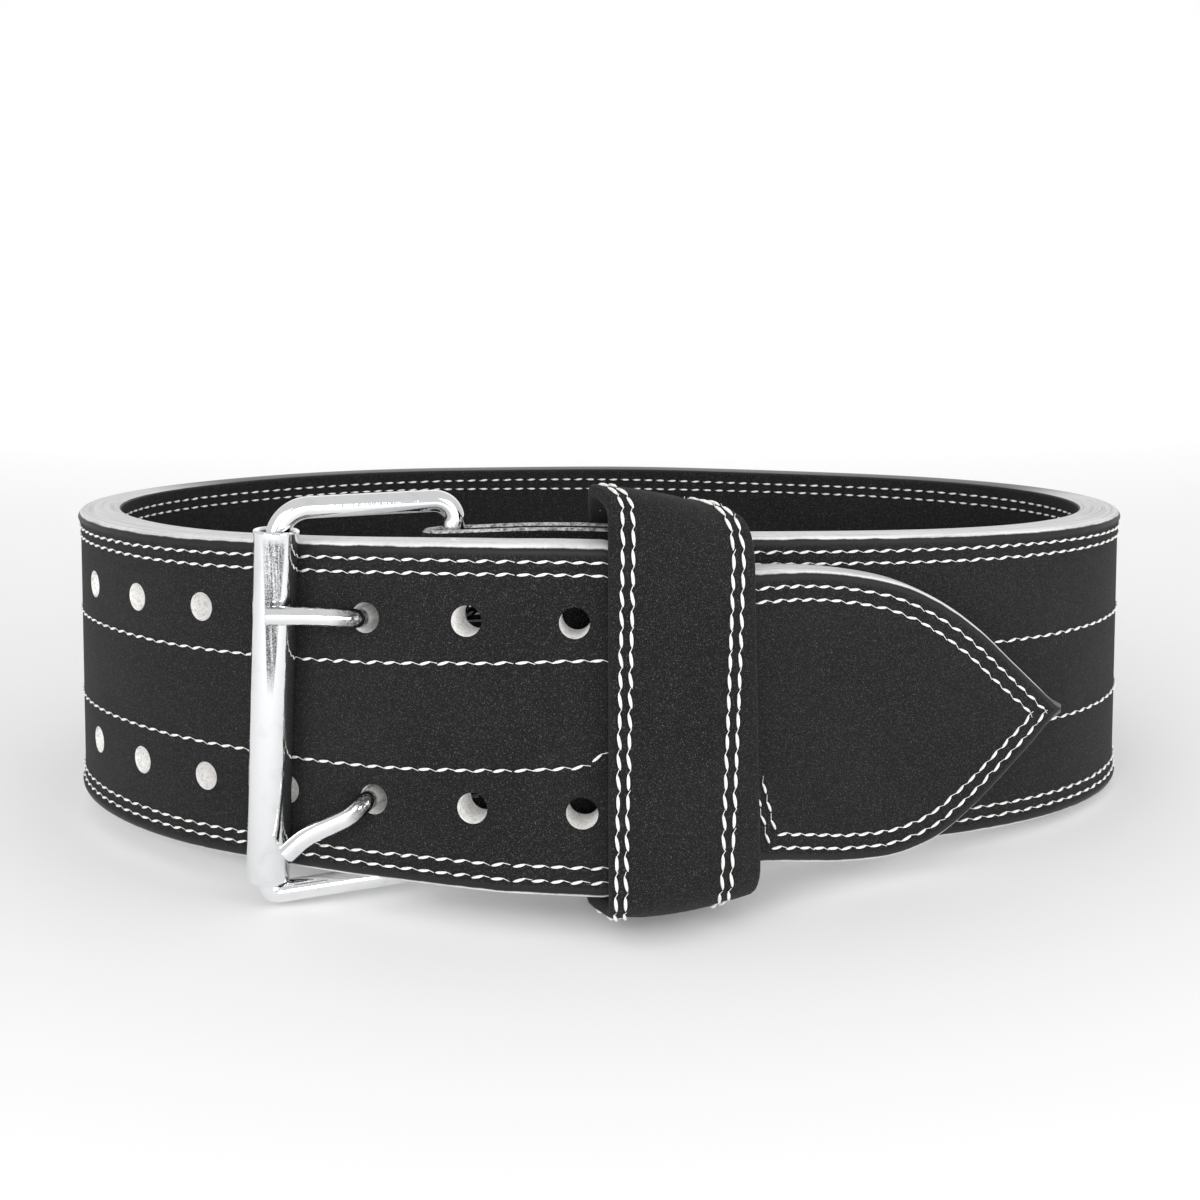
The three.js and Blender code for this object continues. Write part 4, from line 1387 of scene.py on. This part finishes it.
def stitch_tree():
    """One plump stitch and the thin thread to the next, set on each point of a mesh."""
    tree = bpy.data.node_groups.new("stitches", "GeometryNodeTree")
    tree.interface.new_socket("Geometry", in_out="OUTPUT", socket_type="NodeSocketGeometry")
    group_input(tree, "Geometry", "NodeSocketGeometry")
    keys = {}
    for name, value in OUTER_STITCH.items():
        keys[name] = group_input(tree, name, "NodeSocketFloat", value)
    keys["Seed"] = group_input(tree, "Seed", "NodeSocketInt", 1)
    keys["Material"] = group_input(tree, "Material", "NodeSocketMaterial")
    nodes = Nodes(tree)
    source = tree.nodes.new("NodeGroupInput")
    given = {slot.name: Value(tree, slot) for slot in source.outputs if slot.name}

    def vector(x=0.0, y=0.0, z=0.0):
        return nodes.add("ShaderNodeCombineXYZ", None, {"X": x, "Y": y, "Z": z})

    def way(name):
        return nodes.add("GeometryNodeInputNamedAttribute", {"data_type": "FLOAT_VECTOR"}, {"Name": name})

    half = given["Length"] * 0.5
    line = nodes.add("GeometryNodeCurvePrimitiveLine", None, {
        "Start": vector(half * -1.0, given["Slant"] * -1.0),
        "End": vector(half, given["Slant"]),
    })
    line = nodes.add("GeometryNodeResampleCurve", {"mode": "COUNT"}, {
        "Curve": line,
        "Count": STITCH_POINTS,
    })
    run = nodes.add("GeometryNodeSplineParameter")
    off_middle = (run * 2.0 - 1.0).math("ABSOLUTE")
    hump = 1 - off_middle * off_middle
    line = nodes.add("GeometryNodeSetPosition", None, {
        "Geometry": line,
        "Offset": vector(z=given["Arch"] * hump),
    })
    profile = nodes.add("GeometryNodeCurvePrimitiveCircle", {"mode": "RADIUS"}, {
        "Resolution": STITCH_SIDES,
        "Radius": given["Width"] * 0.5,
    })
    stitch = nodes.add("GeometryNodeCurveToMesh", None, {
        "Curve": line,
        "Profile Curve": profile,
        "Scale": 1 - off_middle * off_middle * off_middle * STITCH_NARROWING,
        "Fill Caps": True,
    })
    link = nodes.add("GeometryNodeCurvePrimitiveLine", None, {
        "Start": vector(half * THREAD_START, given["Slant"]),
        "End": vector(given["Pitch"] - half * THREAD_START, given["Slant"] * -1.0),
    })
    thin = nodes.add("GeometryNodeCurvePrimitiveCircle", {"mode": "RADIUS"}, {
        "Resolution": THREAD_SIDES,
        "Radius": given["Thread"] * 0.5,
    })
    link = nodes.add("GeometryNodeCurveToMesh", None, {
        "Curve": link,
        "Profile Curve": thin,
        "Fill Caps": True,
    })
    shape = nodes.add("GeometryNodeJoinGeometry", None, {"Geometry": [stitch, link]})
    rotation = nodes.add("FunctionNodeAxesToRotation", None, {
        "Primary Axis": way("out"),
        "Secondary Axis": way("along"),
    })
    sway = nodes.add("FunctionNodeRandomValue", {"data_type": "FLOAT_VECTOR"}, {
        "Min": vector(z=given["Wobble"] * -1.0),
        "Max": vector(z=given["Wobble"]),
        "Seed": given["Seed"],
    })
    turn = nodes.add("FunctionNodeEulerToRotation", None, {"Euler": sway})
    rotation = nodes.add("FunctionNodeRotateRotation", {"rotation_space": "LOCAL"}, {
        "Rotation": rotation,
        "Rotate By": turn,
    })
    rows = nodes.add("GeometryNodeInstanceOnPoints", None, {
        "Points": given["Geometry"],
        "Instance": shape,
        "Rotation": rotation,
    })
    rows = nodes.add("GeometryNodeRealizeInstances", None, {"Geometry": rows})
    rows = nodes.add("GeometryNodeSetShadeSmooth", None, {"Geometry": rows})
    rows = nodes.add("GeometryNodeSetMaterial", None, {"Geometry": rows, "Material": given["Material"]})
    output = tree.nodes.new("NodeGroupOutput")
    tree.links.new(rows.socket, output.inputs["Geometry"])
    return tree, keys


STITCH_TREE, STITCH_KEYS = stitch_tree()


def sew(name, runs, seed, **sizes):
    """Stitches at the points of each run, which holds places, ways along and ways out."""
    places = np.concatenate([run[0] for run in runs])
    mesh = bpy.data.meshes.new("stitch_points")
    mesh.from_pydata(set_down(places).tolist(), [], [])
    for key, column in (("along", 1), ("out", 2)):
        ways = np.concatenate([run[column] for run in runs]) @ FLOOR_TURN.T
        attribute = mesh.attributes.new(key, "FLOAT_VECTOR", "POINT")
        attribute.data.foreach_set("vector", ways.astype(np.float32).ravel())
    piece = as_object(name, mesh)
    modifier = piece.modifiers.new("stitches", "NODES")
    modifier.node_group = STITCH_TREE
    for key, value in sizes.items():
        modifier[STITCH_KEYS[key]] = value
    modifier[STITCH_KEYS["Seed"]] = seed
    modifier[STITCH_KEYS["Material"]] = THREAD
    piece.update_tag()
    bpy.context.view_layer.update()
    mesh = plain_mesh(piece)
    if not mesh.materials:
        mesh.materials.append(THREAD)
    declare(piece, "belt", "thread")


def strap_run(lengths, heights, side):
    """Stitch places on the outer or inner face at lengths and heights."""
    lengths = np.asarray(lengths, float)
    heights = np.asarray(heights, float)

    def skin(at, high, proud=0.0):
        point, _, out = spot_at(at)
        depth = face_depth(at, high, side) + proud
        return place(point + out * (side * depth)[..., None], high)

    places = skin(lengths, heights, STITCH_LIFT)
    slope = np.gradient(heights, lengths)
    ahead = skin(lengths + NEAR, heights + NEAR * slope)
    behind = skin(lengths - NEAR, heights - NEAR * slope)
    along = unit(ahead - behind)
    out = unit(skin(lengths, heights, 1.0) - skin(lengths, heights))
    return places, along, out


def wandering(heights, lengths, reach, phase):
    """The heights of a row that strays by up to reach, as sewn by hand."""
    long_wave, short_wave = WANDER_WAVES
    return heights + reach * np.sin(lengths / long_wave + phase) * np.sin(lengths / short_wave + 2 * phase)


def long_rows(side, start, end):
    """The double rows along both edges and the two rows in the middle."""
    lengths = np.arange(start, end, STITCH_PITCH)
    half, middle = tongue_shape(lengths)
    runs = []
    for inwards in ROWS_FROM_EDGE:
        for sign in (1, -1):
            heights = middle + sign * (half - inwards)
            runs.append(strap_run(lengths, wandering(heights, lengths, EDGE_WANDER, inwards * sign), side))
    for i, height in enumerate(MIDDLE_ROWS):
        closing = PRONG_HOLE + ROW_ENDS[i]
        at = lengths[lengths < closing + ROW_TURN]
        heights = wandering(np.full(len(at), height), at, MIDDLE_WANDER, MIDDLE_PHASE * i)
        heights += ROW_DRIFT * np.clip((at - PRONG_HOLE) / ROW_DRIFT_RUN, 0, DRIFT_LIMIT) ** DRIFT_GROWTH
        heights -= math.copysign(ROW_TURN_RISE, height) * ease(at, closing, closing + ROW_TURN)
        runs.append(strap_run(at, heights, side))
    return runs


def even_run(leg):
    """Stitches spread evenly along a line of lengths and heights on the outer face, from end to end."""
    run = np.concatenate([[0], np.cumsum(np.hypot(*np.diff(leg, axis=0).T))])
    count = max(1, round(run[-1] / STITCH_PITCH))
    spots = (np.arange(count) + 0.5) * run[-1] / count

    def skin(ahead, proud=0.0):
        length, height = (np.interp(spots + ahead, run, leg[:, k]) for k in (0, 1))
        point, _, out = spot_at(length)
        depth = face_depth(length, height) + proud
        return place(point + out * depth[:, None], height)

    return skin(0, STITCH_LIFT), unit(skin(1) - skin(-1)), unit(skin(0, 1.0) - skin(0))


def tongue_rows():
    """Two rows that follow the tongue's outline and close under the keeper."""
    lengths = np.linspace(PRONG_HOLE + TONGUE_TURN - 12, TIP_LENGTH - 0.5, TONGUE_LINE_STEPS)
    half, middle = tongue_shape(lengths)
    before_tip = lengths < TIP_LENGTH - TIP_SKIPPED

    def inset_line(side, inwards):
        """The line at a distance from one edge, up to where it would cross the tongue's middle."""
        outline = np.stack([lengths, middle + side * half], -1)
        way = unit(np.gradient(outline, axis=0))
        line = outline + side * inwards * np.stack([way[:, 1], -way[:, 0]], -1)
        own_side = side * (line[:, 1] - tongue_shape(line[:, 0])[1]) > 0
        return line[own_side & before_tip]

    runs = []
    for inwards, turn_up, lean in TONGUE_ROWS:
        upper = inset_line(1, inwards)
        lower = inset_line(-1, inwards)
        down, up = upper[-1] - upper[-4], lower[-1] - lower[-4]
        reach = np.linalg.solve(np.stack([down, -up], -1), lower[-1] - upper[-1])
        point = upper[-1] + down * reach[0]
        lower = lower[lower[:, 0] > PRONG_HOLE + TONGUE_TURN + turn_up]
        turned_up = lower[0] + [[0, 0], [-lean, TONGUE_CLOSING]]
        for leg in (np.concatenate([upper, [point]]), np.concatenate([lower, [point]]), turned_up):
            runs.append(even_run(leg))
    return runs


def keeper_rows():
    """Two double columns all round the keeper, leaning with its sewn edges."""
    runs = []
    shares = np.linspace(0, 1, COLUMN_STEPS)
    swells = [KEEPER_THICKNESS + keeper_swell(share) for share in shares]

    def skin(proud):
        return np.array([keeper_line(share, swell + proud)[0] for share, swell in zip(shares, swells)])

    surface, above = skin(STITCH_LIFT), skin(STITCH_LIFT + 1)
    heights = keeper_line(0, KEEPER_THICKNESS)[1]
    for level_share, gain in KEEPER_COLUMNS:
        at_share = level_share + gain * (np.clip(heights, -COLUMN_REACH, COLUMN_REACH) - COLUMN_LEVEL)
        spot = np.clip(at_share, 0, 1) * (len(shares) - 1)
        i = np.minimum(spot.astype(int), len(shares) - 2)
        part = (spot - i)[:, None]
        point = np.arange(len(heights))
        line = surface[i, point] * (1 - part) + surface[i + 1, point] * part
        higher = above[i, point] * (1 - part) + above[i + 1, point] * part
        closed = np.concatenate([line, line[:1]])
        ways = np.concatenate([higher - line, (higher - line)[:1]])
        run = np.concatenate([[0], np.cumsum(np.linalg.norm(np.diff(closed, axis=0), axis=1))])
        spots = np.arange(0, run[-1] - KEEPER_PITCH * LAST_GAP, KEEPER_PITCH)

        def along_line(values, where):
            return np.stack([np.interp(where, run, values[:, k]) for k in range(3)], -1)

        ahead = along_line(closed, spots + 1) - along_line(closed, np.maximum(spots - 1, 0))
        runs.append((along_line(closed, spots), unit(ahead), unit(along_line(ways, spots))))
    return runs


def make_stitches():
    """The outer rows start under the keeper and end near the tongue's own rows."""
    under_keeper = KEEPER_FROM + KEEPER_LENGTH / 2
    outer_end = PRONG_HOLE + TONGUE_TURN - OUTER_ROWS_END
    inner_start, inner_end = FOLD_REACH + INNER_ROWS_START, TIP_LENGTH - INNER_ROWS_END
    sew("stitches_outside", long_rows(1, under_keeper, outer_end), 3, **OUTER_STITCH)
    sew("stitches_inside", long_rows(-1, inner_start, inner_end), 5, **INNER_STITCH)
    sew("stitches_tongue", tongue_rows(), 7, **OUTER_STITCH)
    sew("stitches_keeper", keeper_rows(), 9, **KEEPER_STITCH)


# Studio, in metres

PAPER_HALF = 5.0
PAPER_FRONT = -4.0
PAPER_BACK = 2.2
PAPER_BEND = 1.6
PAPER_TOP = 5.0
PAPER_STEPS = 17
PAPER_WHITE = (0.9, 0.9, 0.9, 1.0)
WORLD_WHITE = (1.0, 1.0, 1.0, 1.0)
WORLD_STRENGTH = 0.72
BELT_MIDDLE = (0, 0, 0.06)
# Each light: its place, the spot it is aimed at, its width and height and its power
LIGHTS = {
    "key": ((-0.75, -1.15, 0.6), BELT_MIDDLE, (0.9, 0.9), 7.5),
    "fill": ((0.95, -0.95, 0.45), BELT_MIDDLE, (0.7, 0.9), 6),
    "front": ((0.1, -1.25, 0.3), BELT_MIDDLE, (0.4, 0.4), 6),
    "backdrop": ((0.0, 1.2, 2.2), (0, 3.4, 1.0), (3.0, 1.0), 40),
}


def add_floor():
    """A sheet of paper that rolls up behind the belt."""
    line = [(PAPER_FRONT, 0.0), (PAPER_BACK, 0.0)]
    for angle in np.linspace(0, math.pi / 2, PAPER_STEPS)[1:]:
        line.append((PAPER_BACK + PAPER_BEND * math.sin(angle), PAPER_BEND * (1 - math.cos(angle))))
    line.append((PAPER_BACK + PAPER_BEND, PAPER_TOP))
    spots = [(x, y, z) for y, z in line for x in (-PAPER_HALF, PAPER_HALF)]
    faces = [(2 * i, 2 * i + 1, 2 * i + 3, 2 * i + 2) for i in range(len(line) - 1)]
    mesh = bpy.data.meshes.new("floor")
    mesh.from_pydata(spots, [], faces)
    for face in mesh.polygons:
        face.use_smooth = True
    finish = Finish("floor_paper")
    material = finish.shade(Base_Color=PAPER_WHITE, Roughness=0.9)
    as_object("floor", mesh, material)


def add_light(name, place_at, aim, size, power):
    data = bpy.data.lights.new(name, "AREA")
    data.shape = "RECTANGLE"
    data.size, data.size_y = size
    data.energy = power
    light = bpy.data.objects.new(name, data)
    bpy.context.scene.collection.objects.link(light)
    light.location = place_at
    light.rotation_euler = (Vector(aim) - Vector(place_at)).to_track_quat("-Z", "Y").to_euler()


def add_studio():
    bpy.context.scene.view_settings.view_transform = "Standard"
    add_floor()
    world = bpy.data.worlds.new("studio")
    world.use_nodes = True
    background = world.node_tree.nodes["Background"]
    background.inputs["Color"].default_value = WORLD_WHITE
    background.inputs["Strength"].default_value = WORLD_STRENGTH
    bpy.context.scene.world = world
    for name, (place_at, aim, size, power) in LIGHTS.items():
        add_light(name, place_at, aim, size, power)


add_camera()
add_studio()
make_strap()
make_fold()
make_keeper()
make_frame()
make_roller()
make_prong("prong_wire_upper", 0, "prong_upper")
make_prong("prong_wire_lower", 1, "prong_lower")
make_stitches()
